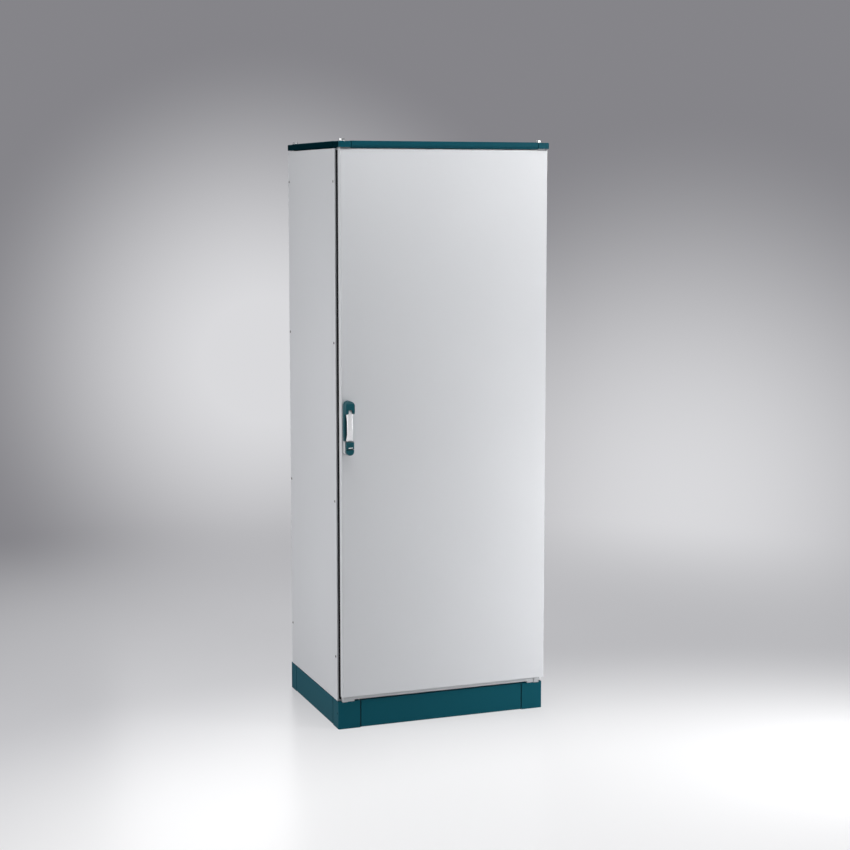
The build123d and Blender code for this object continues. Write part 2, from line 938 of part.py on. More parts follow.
def side_view(points, radii):
    """A side outline in Y and Z with each corner rounded by its own radius, carried across the handle."""
    face = outline_face(points)
    for point, radius in zip(points, radii):
        if radius:
            corner = face.vertices().sort_by_distance((*point, 0))[0]
            face = fillet(corner, radius)
    face = Pos(handle_x - handle_width, 0, 0) * (Plane.YZ * face)
    return extrude(face, 2 * handle_width, dir=(1, 0, 0))


def handle_head():
    """The arched head on the spindle, rounded in front about the lever's pin, with a notch for its neck."""
    back = base_front - near_gap
    profile = [
        (back, head_bottom), (back, handle_top), (handle_front, handle_top), (handle_front, head_bottom),
    ]
    head = side_view(profile, [0, 0, handle_crown_round, handle_head_round])
    head &= stadium(handle_half, head_bottom - handle_width, handle_top, handle_front, back)
    notch = neck_width / 2 + neck_gap
    reach = neck_round + neck_gap
    head -= block(
        handle_x - notch, handle_x + notch, handle_front - cut_overrun, lever_pin_y + reach,
        head_bottom - cut_overrun, lever_pin_z + reach)
    half = handle_half + cut_overrun
    head -= pin_x(
        lever_pin_radius + thread_clearance, lever_pin_y, lever_pin_z, handle_x - half, handle_x + half)
    return head - pin_y(
        spindle_radius + thread_clearance, handle_x, spindle_z, back - spindle_grip, back + cut_overrun)


def handle_lever():
    """The bright lever: a bowed grip with shoulders hollowed round the head, and a neck on the pin."""
    back = base_front - 2 * near_gap
    shoulder = lever_pin_z - handle_head_round - neck_gap
    middle = (lever_bottom + shoulder) / 2
    end_front = back - lever_end_depth
    grip_back = handle_front + lever_grip
    quarter = (middle - lever_bottom) / 2
    lap = lever_pin_z - handle_head_round * lever_lap_share
    profile = [
        (back, lever_bottom), (end_front, lever_bottom), (handle_front, middle),
        (handle_front, lap), (lever_pin_y, lap), (lever_pin_y, shoulder), (back, shoulder),
        (grip_back, shoulder - quarter), (grip_back, lever_bottom + quarter),
    ]
    rounds = [lever_edge, lever_edge * 2, quarter, 0, 0, 0, lever_edge, lever_edge * 2, lever_edge * 2]
    grip = side_view(profile, rounds)
    sleeve = handle_head_round + neck_gap
    grip -= pin_x(sleeve, lever_pin_y, lever_pin_z, handle_x - handle_width, handle_x + handle_width)
    half = lever_width / 2
    plan = block(handle_x - half, handle_x + half, handle_front, back, lever_bottom, lever_pin_z)
    front_edges = plan.edges().filter_by(Axis.Z).group_by(Axis.Y)[0]
    grip &= fillet(front_edges, lever_round)
    neck = neck_width / 2
    arm = pin_x(neck_round, lever_pin_y, lever_pin_z, handle_x - neck, handle_x + neck)
    arm += block(
        handle_x - neck, handle_x + neck, lever_pin_y - neck_round, lever_pin_y + neck_round,
        shoulder - neck_round, lever_pin_z)
    lever = grip + arm
    return lever - pin_x(
        lever_pin_radius + running_clearance, lever_pin_y, lever_pin_z,
        handle_x - handle_width, handle_x + handle_width)


def lever_pin():
    half = handle_half - lever_edge
    return pin_x(lever_pin_radius, lever_pin_y, lever_pin_z, handle_x - half, handle_x + half)


def release_button():
    """A push button that slides into the foot of the handle to let the lever out."""
    half = button_half - near_gap
    body = block(
        handle_x - half, handle_x + half, block_front - button_proud, button_rest,
        button_bottom + near_gap, button_top - near_gap)
    return chamfer(body.faces().sort_by(Axis.Y)[0].outer_wire().edges(), handle_edge)


def handle_end_cap():
    """The fixed end below the button, rounded like the base."""
    cap = stadium(
        button_half, handle_bottom + button_wall,
        handle_top, block_front - end_cap_proud, block_front)
    cap &= block(
        handle_x - handle_width, handle_x + handle_width, block_front - end_cap_proud, block_front,
        handle_bottom, button_bottom - button_wall)
    return chamfer(cap.faces().sort_by(Axis.Y)[0].outer_wire().edges(), end_cap_edge)


# Rod lock

pitch_radius = gear_module * gear_teeth / 2
tooth_pitch = pi * gear_module
addendum = gear_module * gear_addendum_share
dedendum = gear_module * gear_dedendum_share
rod_front = door_skin + rod_standoff
rod_back = rod_front + rod_thickness
case_back = door_skin + lock_case_depth


def pinion_shaft():
    """The handle's spindle, with a spur pinion of involute flanks cut in one piece with it."""
    base_radius = pitch_radius * cos(gear_pressure_angle)
    tip_radius = pitch_radius + addendum
    root_radius = pitch_radius - dedendum
    half_tooth = pi / (2 * gear_teeth) - gear_backlash / (2 * pitch_radius)

    def flank_angle(radius):
        roll = acos(base_radius / radius)
        return half_tooth + tan(gear_pressure_angle) - gear_pressure_angle - (tan(roll) - roll)

    flank = [(root_radius, flank_angle(base_radius))]
    flank += [(r, flank_angle(r)) for r in even_places(base_radius, tip_radius, 3)]
    points = []
    for tooth in range(gear_teeth):
        middle = 2 * pi * tooth / gear_teeth
        rising = [(r, middle - angle) for r, angle in flank]
        falling = [(r, middle + angle) for r, angle in reversed(flank)]
        points += [(handle_x + r * cos(a), spindle_z + r * sin(a)) for r, a in rising + falling]
    spindle_front = base_front - near_gap - spindle_grip
    return backwards(points, rod_front, rod_back) + pin_y(
        spindle_radius, handle_x, spindle_z, spindle_front, case_back)


def rod_outline(reach):
    """The upper rod seen from the front: a rack, a jog to the handle's centre line and a nose."""
    root = -pitch_radius - dedendum
    tip = -pitch_radius + addendum
    back = root - rack_back
    half_pitch_tooth = tooth_pitch / 4 - gear_backlash / 2
    half_root = half_pitch_tooth + dedendum * tan(gear_pressure_angle)
    half_tip = half_pitch_tooth - addendum * tan(gear_pressure_angle)
    foot = -tooth_pitch * (rack_teeth_before + 1 / 2)
    head = tooth_pitch * (rack_teeth_after + 1 / 2)
    jog = lock_case_height / 2
    half = rod_width / 2
    teeth = []
    for index in range(-rack_teeth_before, rack_teeth_after):
        middle = tooth_pitch * (index + 1 / 2)
        teeth += [
            (root, middle - half_root), (tip, middle - half_tip),
            (tip, middle + half_tip), (root, middle + half_root),
        ]
    bar = [
        (root, head), (back + rod_width, head), (back + rod_width, jog), (half, jog + rod_jog_rise),
        (half, reach - rod_nose), (half - rod_nose, reach),
        (rod_nose - half, reach), (-half, reach - rod_nose),
        (-half, jog + rod_jog_rise), (back, jog), (back, foot), (root, foot),
    ]
    return teeth + bar


upper_reach = door_top - door_lip - rod_end_gap - spindle_z
lower_reach = spindle_z - door_bottom - door_lip - rod_end_gap


def lock_rod(way):
    """The upper rod, or the lower one as the same form turned half round about the spindle."""
    reach = upper_reach if way > 0 else lower_reach
    points = [(handle_x + way * x, spindle_z + way * z) for x, z in rod_outline(reach)]
    return backwards(points, rod_front, rod_back)


def lock_case():
    """A channel that closes over the pinion and both racks, bored to carry the end of the spindle."""
    half = lock_case_width / 2
    low = spindle_z - lock_case_height / 2
    high = spindle_z + lock_case_height / 2
    case = block(handle_x - half, handle_x + half, door_skin, case_back, low, high)
    case -= block(
        handle_x - half + lock_case_wall, handle_x + half - lock_case_wall, door_skin - cut_overrun,
        case_back - lock_case_wall, low - cut_overrun, high + cut_overrun)
    return case - pin_y(
        spindle_radius + running_clearance, handle_x, spindle_z, door_skin, case_back + cut_overrun)


def rod_guide(height):
    """A bridge over a rod, on the door's skin."""
    gap = rod_width / 2 + guide_gap
    half = gap + guide_wall
    low = height - guide_height / 2
    high = height + guide_height / 2
    bridge = block(
        handle_x - half, handle_x + half, door_skin, rod_back + guide_gap + guide_wall, low, high)
    return bridge - block(
        handle_x - gap, handle_x + gap, door_skin - cut_overrun, rod_back + guide_gap, low - cut_overrun,
        high + cut_overrun)


def rod_guides():
    places = [spindle_z + upper_reach * share for share in guide_height_shares]
    places += [spindle_z - lower_reach * share for share in guide_height_shares]
    return group(rod_guide(height) for height in places)


def lock_keeper(low):
    """A fork on the frame that takes the nose of a rod between its prongs."""
    gap = rod_width / 2 + keeper_gap
    half = gap + keeper_wall
    fork = block(handle_x - half, handle_x + half, rod_front, front_plane, low, low + keeper_height)
    return fork - block(
        handle_x - gap, handle_x + gap, rod_front - cut_overrun, front_plane - keeper_wall,
        low - cut_overrun, low + keeper_height + cut_overrun)


def lock_keepers():
    upper = door_top - door_lip - keeper_end_gap - keeper_height
    lower = door_bottom + door_lip + keeper_end_gap
    return group(lock_keeper(low) for low in (upper, lower))


# Mounting plate

plate_back = half_depth - post_body_y
plate_front = plate_back - plate_flange
plate_half = half_width - plate_inset
plate_low = floor_top + plate_foot_gap
plate_high = top_ring_bottom - plate_head_gap
plate_height = plate_high - plate_low


def mounting_plate():
    """A plate with flanges folded back onto the rear posts."""
    section = [
        (-plate_half, plate_front), (plate_half, plate_front), (plate_half, plate_back),
        (plate_half - plate_sheet, plate_back), (plate_half - plate_sheet, plate_front + plate_sheet),
        (plate_sheet - plate_half, plate_front + plate_sheet), (plate_sheet - plate_half, plate_back),
        (-plate_half, plate_back),
    ]
    return upright(section, plate_low, plate_high)


# Rack frame

rack_front = front_plane + rack_set_back
rack_low = floor_top
rack_high = top_ring_bottom
rack_inner = rack_clear_width / 2
rack_hole_x = rack_hole_spacing / 2


def rack_rail(side):
    """An angle whose front flange carries the 19 inch panels."""
    outer = rack_inner + rack_flange
    section = [
        (rack_inner, rack_front), (outer, rack_front), (outer, rack_front + rack_web),
        (outer - rack_sheet, rack_front + rack_web), (outer - rack_sheet, rack_front + rack_sheet),
        (rack_inner, rack_front + rack_sheet),
    ]
    return upright([(side * x, y) for x, y in section], rack_low, rack_high)


def rack_bar(low, high):
    half = half_width - ring_width + rack_bar_lap
    front = rack_front + rack_bar_back
    back = front + rack_bar_depth
    bar = block(-half, half, front, back, low, high)
    return bar - block(
        -half - cut_overrun, half + cut_overrun, front + rack_sheet, back - rack_sheet,
        low + rack_sheet, high - rack_sheet)


rack_bay_low = rack_low + (rack_high - rack_low) * rack_bay_share


def rack_frame():
    """Two rails welded to a cross bar under the top ring and a cross bar on the floor plates."""
    frame = rack_rail(-1) + rack_rail(1)
    frame += rack_bar(rack_high - rack_bar_height, rack_high)
    frame += rack_bar(rack_low, rack_low + rack_bar_height)
    for side in (-1, 1):
        for step in (0, 2):
            frame -= pin_y(
                rack_hole_radius, side * rack_hole_x, rack_bay_low + rack_pitch * step,
                rack_front - cut_overrun, rack_front + rack_sheet + cut_overrun)
    return frame


# Controller chassis

chassis_low = rack_low + (rack_high - rack_low) * chassis_foot_share
chassis_height = chassis_unit_count * rack_pitch - near_gap
chassis_high = chassis_low + chassis_height
chassis_half = chassis_width / 2


def controller_chassis():
    """A card cage, open at the front, with ears on the rack rails and slots in its lid."""
    back = rack_front + chassis_depth
    cage = block(-chassis_half, chassis_half, rack_front, back, chassis_low, chassis_high)
    cage -= block(
        chassis_wall - chassis_half, chassis_half - chassis_wall,
        rack_front - cut_overrun, back - chassis_wall,
        chassis_low + chassis_wall, chassis_high - chassis_wall)
    middle = rack_front + chassis_depth / 2
    for x in even_places(-chassis_half * 4 / 5, chassis_half * 4 / 5, chassis_slot_count):
        cage -= block(
            x - chassis_slot_width / 2, x + chassis_slot_width / 2, middle - chassis_slot_length / 2,
            middle + chassis_slot_length / 2,
            chassis_high - chassis_wall - cut_overrun, chassis_high + cut_overrun)
    for side in (-1, 1):
        cage += block(
            side * (chassis_half - chassis_wall), side * panel_19_width / 2,
            rack_front - panel_19_sheet, rack_front,
            chassis_low, chassis_high)
    return cage


card_span = (chassis_width - 2 * chassis_wall - 2 * card_gap) / card_count


def plug_in_card(index):
    """A front plate with a pull at top and bottom, and its board."""
    left = chassis_wall + card_gap - chassis_half + card_span * index
    right = left + card_span - card_gap
    middle = (left + right) / 2
    front = rack_front - card_panel_sheet
    card = block(left, right, front, rack_front, chassis_low, chassis_high)
    card += block(
        middle - card_board / 2, middle + card_board / 2, rack_front, rack_front + card_board_depth,
        chassis_low + card_board_margin, chassis_high - card_board_margin)
    for height in (chassis_low + card_board_margin, chassis_high - card_board_margin):
        pull = [
            (front, height - card_pull_height / 2), (front, height + card_pull_height / 2),
            (front - card_pull_depth, height + card_pull_height / 4),
            (front - card_pull_depth, height - card_pull_height / 4),
        ]
        card += crosswise(pull, middle - card_span / 4, middle + card_span / 4)
    return card


# Power unit

power_low = chassis_low + (chassis_unit_count + 1) * rack_pitch
power_high = power_low + power_unit_count * rack_pitch - near_gap


def power_unit():
    """A hollow box behind a 19 inch panel with vents and two pull handles."""
    half = panel_19_width / 2
    front = rack_front - panel_19_sheet
    unit = block(-half, half, front, rack_front, power_low, power_high)
    low = power_low + power_margin
    high = power_high - power_margin
    back = rack_front + power_depth
    unit += block(-chassis_half, chassis_half, rack_front, back, low, high)
    unit -= block(
        power_wall - chassis_half, chassis_half - power_wall, rack_front, back - power_wall,
        low + power_wall, high - power_wall)
    middle = (power_low + power_high) / 2
    third = (power_high - power_low) / 3
    for x in even_places(0, power_vent_pitch * (power_vent_count - 1), power_vent_count):
        left = x - power_vent_pitch * (power_vent_count - 1) / 2
        unit -= block(
            left - power_vent_width / 2, left + power_vent_width / 2,
            front - cut_overrun, rack_front + cut_overrun,
            middle - third, middle + third)
    for side in (-1, 1):
        x = side * (chassis_half - power_pull_inset)
        tip = front - power_pull_reach
        for height in (middle - third, middle + third):
            unit += block(
                x - power_pull_radius, x + power_pull_radius, tip, front, height - power_pull_radius,
                height + power_pull_radius)
        unit += block(
            x - power_pull_radius, x + power_pull_radius, tip, tip + 2 * power_pull_radius, middle - third,
            middle + third)
    return unit


# Wiring on the mounting plate

rail_half = plate_half - rail_side_gap
rail_front = plate_front - rail_height
rail_heights = [plate_low + plate_height * share for share in rail_height_shares]


def support_rail(height):
    """A top-hat rail along the plate."""
    brim = rail_width / 2
    crown = brim - rail_brim
    top = rail_front
    base = plate_front
    section = [
        (top, height - brim), (top, height - crown + rail_sheet),
        (base - rail_sheet, height - crown + rail_sheet),
        (base - rail_sheet, height + crown - rail_sheet),
        (top, height + crown - rail_sheet), (top, height + brim),
        (top + rail_sheet, height + brim), (top + rail_sheet, height + crown), (base, height + crown),
        (base, height - crown), (top + rail_sheet, height - crown), (top + rail_sheet, height - brim),
    ]
    return crosswise(section, -rail_half, rail_half)


def terminal_block(x, height):
    """A stepped terminal on the front of a rail."""
    half = terminal_height / 2
    front = rail_front - terminal_depth
    section = [
        (rail_front, height - half), (front + terminal_step, height - half),
        (front, height - half + terminal_step),
        (front, height + half - terminal_step),
        (front + terminal_step, height + half), (rail_front, height + half),
    ]
    return crosswise(section, x - terminal_width / 2, x + terminal_width / 2)


def terminal_blocks():
    reach = terminal_pitch * (terminal_count - 1) / 2
    places = even_places(-reach, reach, terminal_count)
    return group(terminal_block(x, height) for height in rail_heights[:2] for x in places)


switch_front = rail_front - switch_depth
switch_z = rail_heights[2]


def mains_switch():
    """A rail-mounted switch with a raised nose, bored for the knob's stem."""
    half = switch_width / 2
    tall = switch_height / 2
    nose = switch_nose / 2
    shoulder = switch_front + switch_edge * 3
    section = [
        (rail_front, switch_z - tall), (shoulder, switch_z - tall), (shoulder, switch_z - nose),
        (switch_front, switch_z - nose), (switch_front, switch_z + nose), (shoulder, switch_z + nose),
        (shoulder, switch_z + tall), (rail_front, switch_z + tall),
    ]
    body = crosswise(section, -half, half)
    return body - pin_y(
        knob_stem_radius + running_clearance, 0, switch_z, switch_front - cut_overrun,
        switch_front + knob_stem_depth + near_gap)


def mains_switch_knob():
    """A round knob with a grip bar across it and a stem into the switch."""
    back = switch_front - near_gap
    front = back - knob_depth
    knob = pin_y(knob_radius, 0, switch_z, front, back)
    knob += block(
        -knob_grip_width / 2, knob_grip_width / 2, front - knob_grip_depth, front, switch_z - knob_radius,
        switch_z + knob_radius)
    return knob + pin_y(knob_stem_radius, 0, switch_z, back, switch_front + knob_stem_depth)


def earth_bar():
    """A drilled bar on two round feet."""
    height = rail_heights[0] - earth_bar_drop
    back = plate_front - earth_foot_height
    front = back - earth_bar_sheet
    half = earth_bar_length / 2
    bar = block(-half, half, front, back, height - earth_bar_height / 2, height + earth_bar_height / 2)
    reach = half - earth_bar_height * 2
    for x in even_places(-reach, reach, earth_stud_count):
        bar -= pin_y(earth_stud_radius, x, height, front - cut_overrun, back + cut_overrun)
    for side in (-1, 1):
        bar += pin_y(earth_foot_radius, side * (half - earth_bar_height / 2), height, back, plate_front)
    return bar


def all_nodes():
    """Every node's name with its shape."""
    nodes = {}
    for name, (side, end) in corners.items():
        nodes[f"plinth_corner_{name}"] = plinth_corner(side, end)
        nodes[f"frame_post_{name}"] = frame_post(side, end)
        nodes[f"roof_corner_{name}"] = trim_corner(side, end)
    front_length = cabinet_width - 2 * (plinth_corner_front + plinth_joint)
    side_length = cabinet_depth - 2 * (plinth_corner_side + plinth_joint)
    nodes["plinth_panel_front"] = plinth_panel(front_length, front_plane)
    nodes["plinth_panel_rear"] = plinth_panel(front_length, half_depth)
    turned = Rot(0, 0, 90)
    nodes["plinth_panel_right"] = turned * plinth_panel(side_length, -half_width)
    nodes["plinth_panel_left"] = turned * plinth_panel(side_length, half_width)
    nodes["frame_bolts"] = group(frame_bolt(side, end) for side, end in corners.values())
    nodes["base_frame"] = base_frame()
    nodes["top_frame"] = top_frame()
    nodes["side_panel_left"] = side_panel(-1)
    nodes["side_panel_right"] = side_panel(1)
    nodes["rear_panel"] = rear_panel()
    nodes["panel_screws"] = panel_screws()
    nodes["roof_panel"] = roof_panel()
    nodes["roof_trim_front"] = trim_rail_x(-1)
    nodes["roof_trim_rear"] = trim_rail_x(1)
    nodes["roof_trim_left"] = trim_rail_y(-1)
    nodes["roof_trim_right"] = trim_rail_y(1)
    nodes["roof_bolts"] = group(roof_bolt(x, y) for x, y in roof_bolt_places())
    nodes["floor_plates"] = group([floor_plate(-1, cable_front), floor_plate(1, cable_back)])
    nodes["cable_entry_strips"] = cable_strips()
    nodes["door_leaf"] = door_leaf()
    nodes["door_seal"] = door_seal()
    nodes["door_stiles"] = group(door_stile(side) for side in (-1, 1))
    nodes["document_pocket"] = document_pocket()
    nodes["hinge_frame_leaves"] = group(hinge_frame_leaf(height) for height in hinge_heights())
    nodes["hinge_door_leaves"] = group(hinge_door_leaf(height) for height in hinge_heights())
    nodes["hinge_pins"] = group(hinge_pin(height) for height in hinge_heights())
    nodes["handle_base"] = handle_base()
    nodes["handle_head"] = handle_head()
    nodes["handle_lever"] = handle_lever()
    nodes["lever_pin"] = lever_pin()
    nodes["release_button"] = release_button()
    nodes["handle_end_cap"] = handle_end_cap()
    nodes["pinion_shaft"] = pinion_shaft()
    nodes["upper_lock_rod"] = lock_rod(1)
    nodes["lower_lock_rod"] = lock_rod(-1)
    nodes["lock_case"] = lock_case()
    nodes["rod_guides"] = rod_guides()
    nodes["lock_keepers"] = lock_keepers()
    nodes["mounting_plate"] = mounting_plate()
    nodes["rack_frame"] = rack_frame()
    nodes["controller_chassis"] = controller_chassis()
    nodes["plug_in_cards"] = group(plug_in_card(index) for index in range(card_count))
    nodes["power_unit"] = power_unit()
    nodes["support_rails"] = group(support_rail(height) for height in rail_heights)
    nodes["terminal_blocks"] = terminal_blocks()
    nodes["mains_switch"] = mains_switch()
    nodes["mains_switch_knob"] = mains_switch_knob()
    nodes["earth_bar"] = earth_bar()
    return nodes


os.makedirs("parts", exist_ok=True)
for node, shape in all_nodes().items():
    solids = shape.solids()
    export_step(solids[0] if len(solids) == 1 else Compound(solids), f"parts/{node}.step")
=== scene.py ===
import math

import bmesh
import bpy
import numpy as np
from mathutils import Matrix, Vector


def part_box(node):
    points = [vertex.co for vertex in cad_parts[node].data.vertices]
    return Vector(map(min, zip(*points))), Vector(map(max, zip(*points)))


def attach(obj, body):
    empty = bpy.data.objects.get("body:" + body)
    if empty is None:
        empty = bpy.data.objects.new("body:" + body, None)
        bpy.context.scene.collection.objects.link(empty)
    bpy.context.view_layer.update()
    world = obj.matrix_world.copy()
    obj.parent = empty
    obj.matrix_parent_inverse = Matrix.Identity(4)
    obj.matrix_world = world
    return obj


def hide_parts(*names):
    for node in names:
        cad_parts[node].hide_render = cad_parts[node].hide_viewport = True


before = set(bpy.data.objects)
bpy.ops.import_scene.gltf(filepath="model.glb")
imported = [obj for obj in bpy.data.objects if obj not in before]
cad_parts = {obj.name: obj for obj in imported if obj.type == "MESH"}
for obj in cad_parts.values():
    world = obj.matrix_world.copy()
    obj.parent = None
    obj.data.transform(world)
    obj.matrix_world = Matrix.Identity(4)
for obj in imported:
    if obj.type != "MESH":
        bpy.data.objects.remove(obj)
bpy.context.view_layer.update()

mm = 0.001  # the frame is in metres, and the sizes below are in millimetres
frontward = (0, -1, 0)  # the way that the door and the fronts of the equipment face
print("frame loaded with", len(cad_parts), "pieces")


# Shader maths

class Wire:  # a socket in a node tree; sums written with it add Math nodes
    def __init__(self, nodes, socket):
        self.nodes = nodes
        self.socket = socket

    def maths(self, operation, first, second):
        return self.nodes.node("ShaderNodeMath", {"operation": operation}, {0: first, 1: second})

    def __add__(self, other):
        return self.maths("ADD", self, other)

    def __radd__(self, other):
        return self.maths("ADD", other, self)

    def __rsub__(self, other):
        return self.maths("SUBTRACT", other, self)

    def __mul__(self, other):
        return self.maths("MULTIPLY", self, other)

    def __rmul__(self, other):
        return self.maths("MULTIPLY", other, self)

    def __truediv__(self, other):
        return self.maths("DIVIDE", self, other)

    def __pow__(self, other):
        return self.maths("POWER", self, other)

    def __gt__(self, other):
        return self.maths("GREATER_THAN", self, other)

    def __lt__(self, other):
        return self.maths("LESS_THAN", self, other)

    def __mod__(self, other):
        return self.maths("FLOORED_MODULO", self, other)


class Nodes:  # a node tree that grows by one method
    def __init__(self, tree):
        self.tree = tree
        tree.nodes.clear()

    def node(self, kind, settings=None, values=None, out=0):
        made = self.tree.nodes.new(kind)
        for key, value in (settings or {}).items():
            setattr(made, key, value)
        for key, value in (values or {}).items():
            if isinstance(value, Wire):
                self.tree.links.new(value.socket, made.inputs[key])
            else:
                made.inputs[key].default_value = value
        return Wire(self, made.outputs[out]) if made.outputs else None


def newFinish(name):  # a material and its node tree, still empty
    material = bpy.data.materials.new(name)
    material.use_nodes = True
    return material, Nodes(material.node_tree)


def objectPlace(nodes):  # metres in the frame, the same for every piece
    return nodes.node("ShaderNodeTexCoord", out="Object")


def axes(nodes, place):  # the three numbers of a place, each by itself
    split = nodes.node("ShaderNodeSeparateXYZ", values={"Vector": place})
    return [Wire(nodes, output) for output in split.socket.node.outputs]


def stretched(nodes, place, scale):  # a place times a scale along each axis
    return nodes.node("ShaderNodeMapping", values={"Vector": place, "Scale": scale})


def noise(nodes, place, scale, detail=2.0, rough=0.5):  # soft random clouds between 0 and 1
    return nodes.node("ShaderNodeTexNoise", values={
        "Vector": place, "Scale": scale, "Detail": detail, "Roughness": rough})


def cells(nodes, place, scale, out="Color"):  # random cells: each one's colour, or how far its middle is
    return nodes.node("ShaderNodeTexVoronoi", values={"Vector": place, "Scale": scale}, out=out)


def firstChannel(nodes, colour):  # a colour's red, as a random number for each cell
    return nodes.node("ShaderNodeSeparateColor", values={"Color": colour})


def eased(nodes, value, low, high):  # a smooth step from 0 to 1
    return nodes.node("ShaderNodeMapRange", {"interpolation_type": "SMOOTHSTEP"}, {
        "Value": value, "From Min": low, "From Max": high})


def mixed(nodes, share, first, second):  # a colour between two colours
    def colour(value):
        return value if isinstance(value, Wire) else (*value, 1)
    return nodes.node("ShaderNodeMix", {"data_type": "RGBA"}, {
        0: share, 6: colour(first), 7: colour(second)}, out=2)


def shade(colour, share):  # each part of a colour times a share
    return tuple(part * share for part in colour)


def toned(nodes, share, colour, low, high):  # a colour between two shades of itself
    return mixed(nodes, share, shade(colour, low), shade(colour, high))


def bumped(nodes, height, strength, depth, edge=0.0):
    # a bump over the surface, and a rounding of sharp edges by the given radius
    values = {"Height": height, "Strength": strength, "Distance": depth}
    if edge:
        values["Normal"] = nodes.node("ShaderNodeBevel", {"samples": 4}, {"Radius": edge})
    return nodes.node("ShaderNodeBump", values=values)


def surface(nodes, **values):  # the shader and the output; underscores stand for spaces
    sockets = {key.replace("_", " "): value for key, value in values.items()}
    shader = nodes.node("ShaderNodeBsdfPrincipled", values=sockets)
    nodes.node("ShaderNodeOutputMaterial", values={"Surface": shader})


# Finishes

def powderCoat(name, colour, rough=0.4, grain=700, strength=0.12, edge=0.8 * mm, gloss=0.5):
    # sprayed and baked paint: fine orange peel, and a coat that varies slowly over a panel
    material, nodes = newFinish(name)
    place = objectPlace(nodes)
    peel = noise(nodes, place, grain, 2.0)
    cloud = noise(nodes, place, 2.6, 3.0)
    speck = noise(nodes, place, grain * 3, 1.0)
    surface(
        nodes,
        Base_Color=toned(nodes, cloud * 0.75 + speck * 0.25, colour, 0.965, 1.03),
        Roughness=rough - 0.05 + cloud * 0.07 + peel * 0.03,
        Specular_IOR_Level=gloss,
        Normal=bumped(nodes, peel, strength, 0.05 * mm, edge))
    return material


mould = {"grain": 2600, "strength": 0.25, "depth": 0.03 * mm, "flow": (30, 30, 7), "shades": (0.94, 1.06)}


def mouldGrain(nodes, place):  # the even grain of an eroded mould, and faint flow marks
    pits = noise(nodes, place, mould["grain"], 1.0)
    return pits, noise(nodes, stretched(nodes, place, mould["flow"]), 1.0, 3.0)


def mouldRough(rough, pits, flow):  # a little rougher where the grain and the flow marks rise
    return rough - 0.06 + flow * 0.08 + pits * 0.06


def mouldBump(nodes, pits, edge):  # the grain as a bump, and edges rounded by the given radius
    return bumped(nodes, pits, mould["strength"], mould["depth"], edge)


def mouldedPlastic(name, colour, rough=0.42, edge=0.5 * mm, gloss=0.5):
    # a moulding in one colour
    material, nodes = newFinish(name)
    pits, flow = mouldGrain(nodes, objectPlace(nodes))
    surface(
        nodes,
        Base_Color=toned(nodes, flow, colour, *mould["shades"]),
        Roughness=mouldRough(rough, pits, flow),
        Specular_IOR_Level=gloss,
        Normal=mouldBump(nodes, pits, edge))
    return material


def trimMoulding(name, colour, sideReach, shadeShare=0.22, coat=0.1, topEdge=0.7 * mm):
    # a moulding under a thin coat; all that lies beyond the given reach to the sides, but for the top face,
    # is bare and darkened as painted shade
    material, nodes = newFinish(name)
    place = objectPlace(nodes)
    x, _, z = axes(nodes, place)
    pits, flow = mouldGrain(nodes, place)
    # painted shade: below the top face, the side faces take a darker copy of the colour and lose the coat's
    # sheen
    shadedSides = (x * x > sideReach ** 2) * (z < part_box("roof_corner_front_left")[1].z - topEdge)
    face = toned(nodes, flow, colour, *mould["shades"])
    paintedShadeBand = toned(nodes, flow, shade(colour, shadeShare), *mould["shades"])
    surface(
        nodes,
        Base_Color=mixed(nodes, shadedSides, face, paintedShadeBand),
        Roughness=mouldRough(0.42, pits, flow),
        Specular_IOR_Level=0.0,
        Coat_Weight=coat * (1 - shadedSides),
        Coat_Roughness=0.4,
        Normal=mouldBump(nodes, pits, 0.8 * mm))
    return material


def handleBase(name, foot, arm, split):
    # one moulding in two colours: a pale foot, and a darker arm above the given height
    material, nodes = newFinish(name)
    place = objectPlace(nodes)
    z = axes(nodes, place)[2]
    pits, flow = mouldGrain(nodes, place)
    pale = toned(nodes, flow, foot, *mould["shades"])
    dark = toned(nodes, flow, arm, *mould["shades"])
    surface(
        nodes,
        Base_Color=mixed(nodes, z > split, pale, dark),
        Roughness=mouldRough(0.44, pits, flow),
        Specular_IOR_Level=0.25,
        Normal=mouldBump(nodes, pits, 0.5 * mm))
    return material


def silverLacquer(name, colour, rough=0.3):
    # fine flakes under a satin lacquer, each tipped a little another way
    material, nodes = newFinish(name)
    place = objectPlace(nodes)
    flake = firstChannel(nodes, cells(nodes, place, 5200.0))
    cloud = noise(nodes, place, 40.0, 2.0)
    surface(
        nodes,
        Base_Color=toned(nodes, flake * 0.6 + cloud * 0.4, colour, 0.93, 1.05),
        Metallic=0.1 + flake * 0.1,
        Roughness=rough - 0.04 + flake * 0.1,
        Normal=bumped(nodes, flake, 0.06, 0.02 * mm, 0.5 * mm))
    return material


def zincPlating(name, colour, rough=0.32):
    # crystals of many tones, with a faint yellow film
    material, nodes = newFinish(name)
    place = objectPlace(nodes)
    crystal = firstChannel(nodes, cells(nodes, place, 90.0))
    film = noise(nodes, place, 14.0, 3.0)
    streak = noise(nodes, stretched(nodes, place, (900, 900, 60)), 1.0, 2.0)
    bare = toned(nodes, crystal, colour, 0.86, 1.08)
    tinted = mixed(nodes, eased(nodes, film, 0.35, 0.7), shade(colour, 0.97), (0.62, 0.60, 0.53))
    surface(
        nodes,
        Base_Color=mixed(nodes, 0.3, bare, tinted),
        Metallic=1.0,
        Roughness=rough + crystal * 0.14 + streak * 0.06,
        Normal=bumped(nodes, streak, 0.08, 0.02 * mm, 0.3 * mm))
    return material


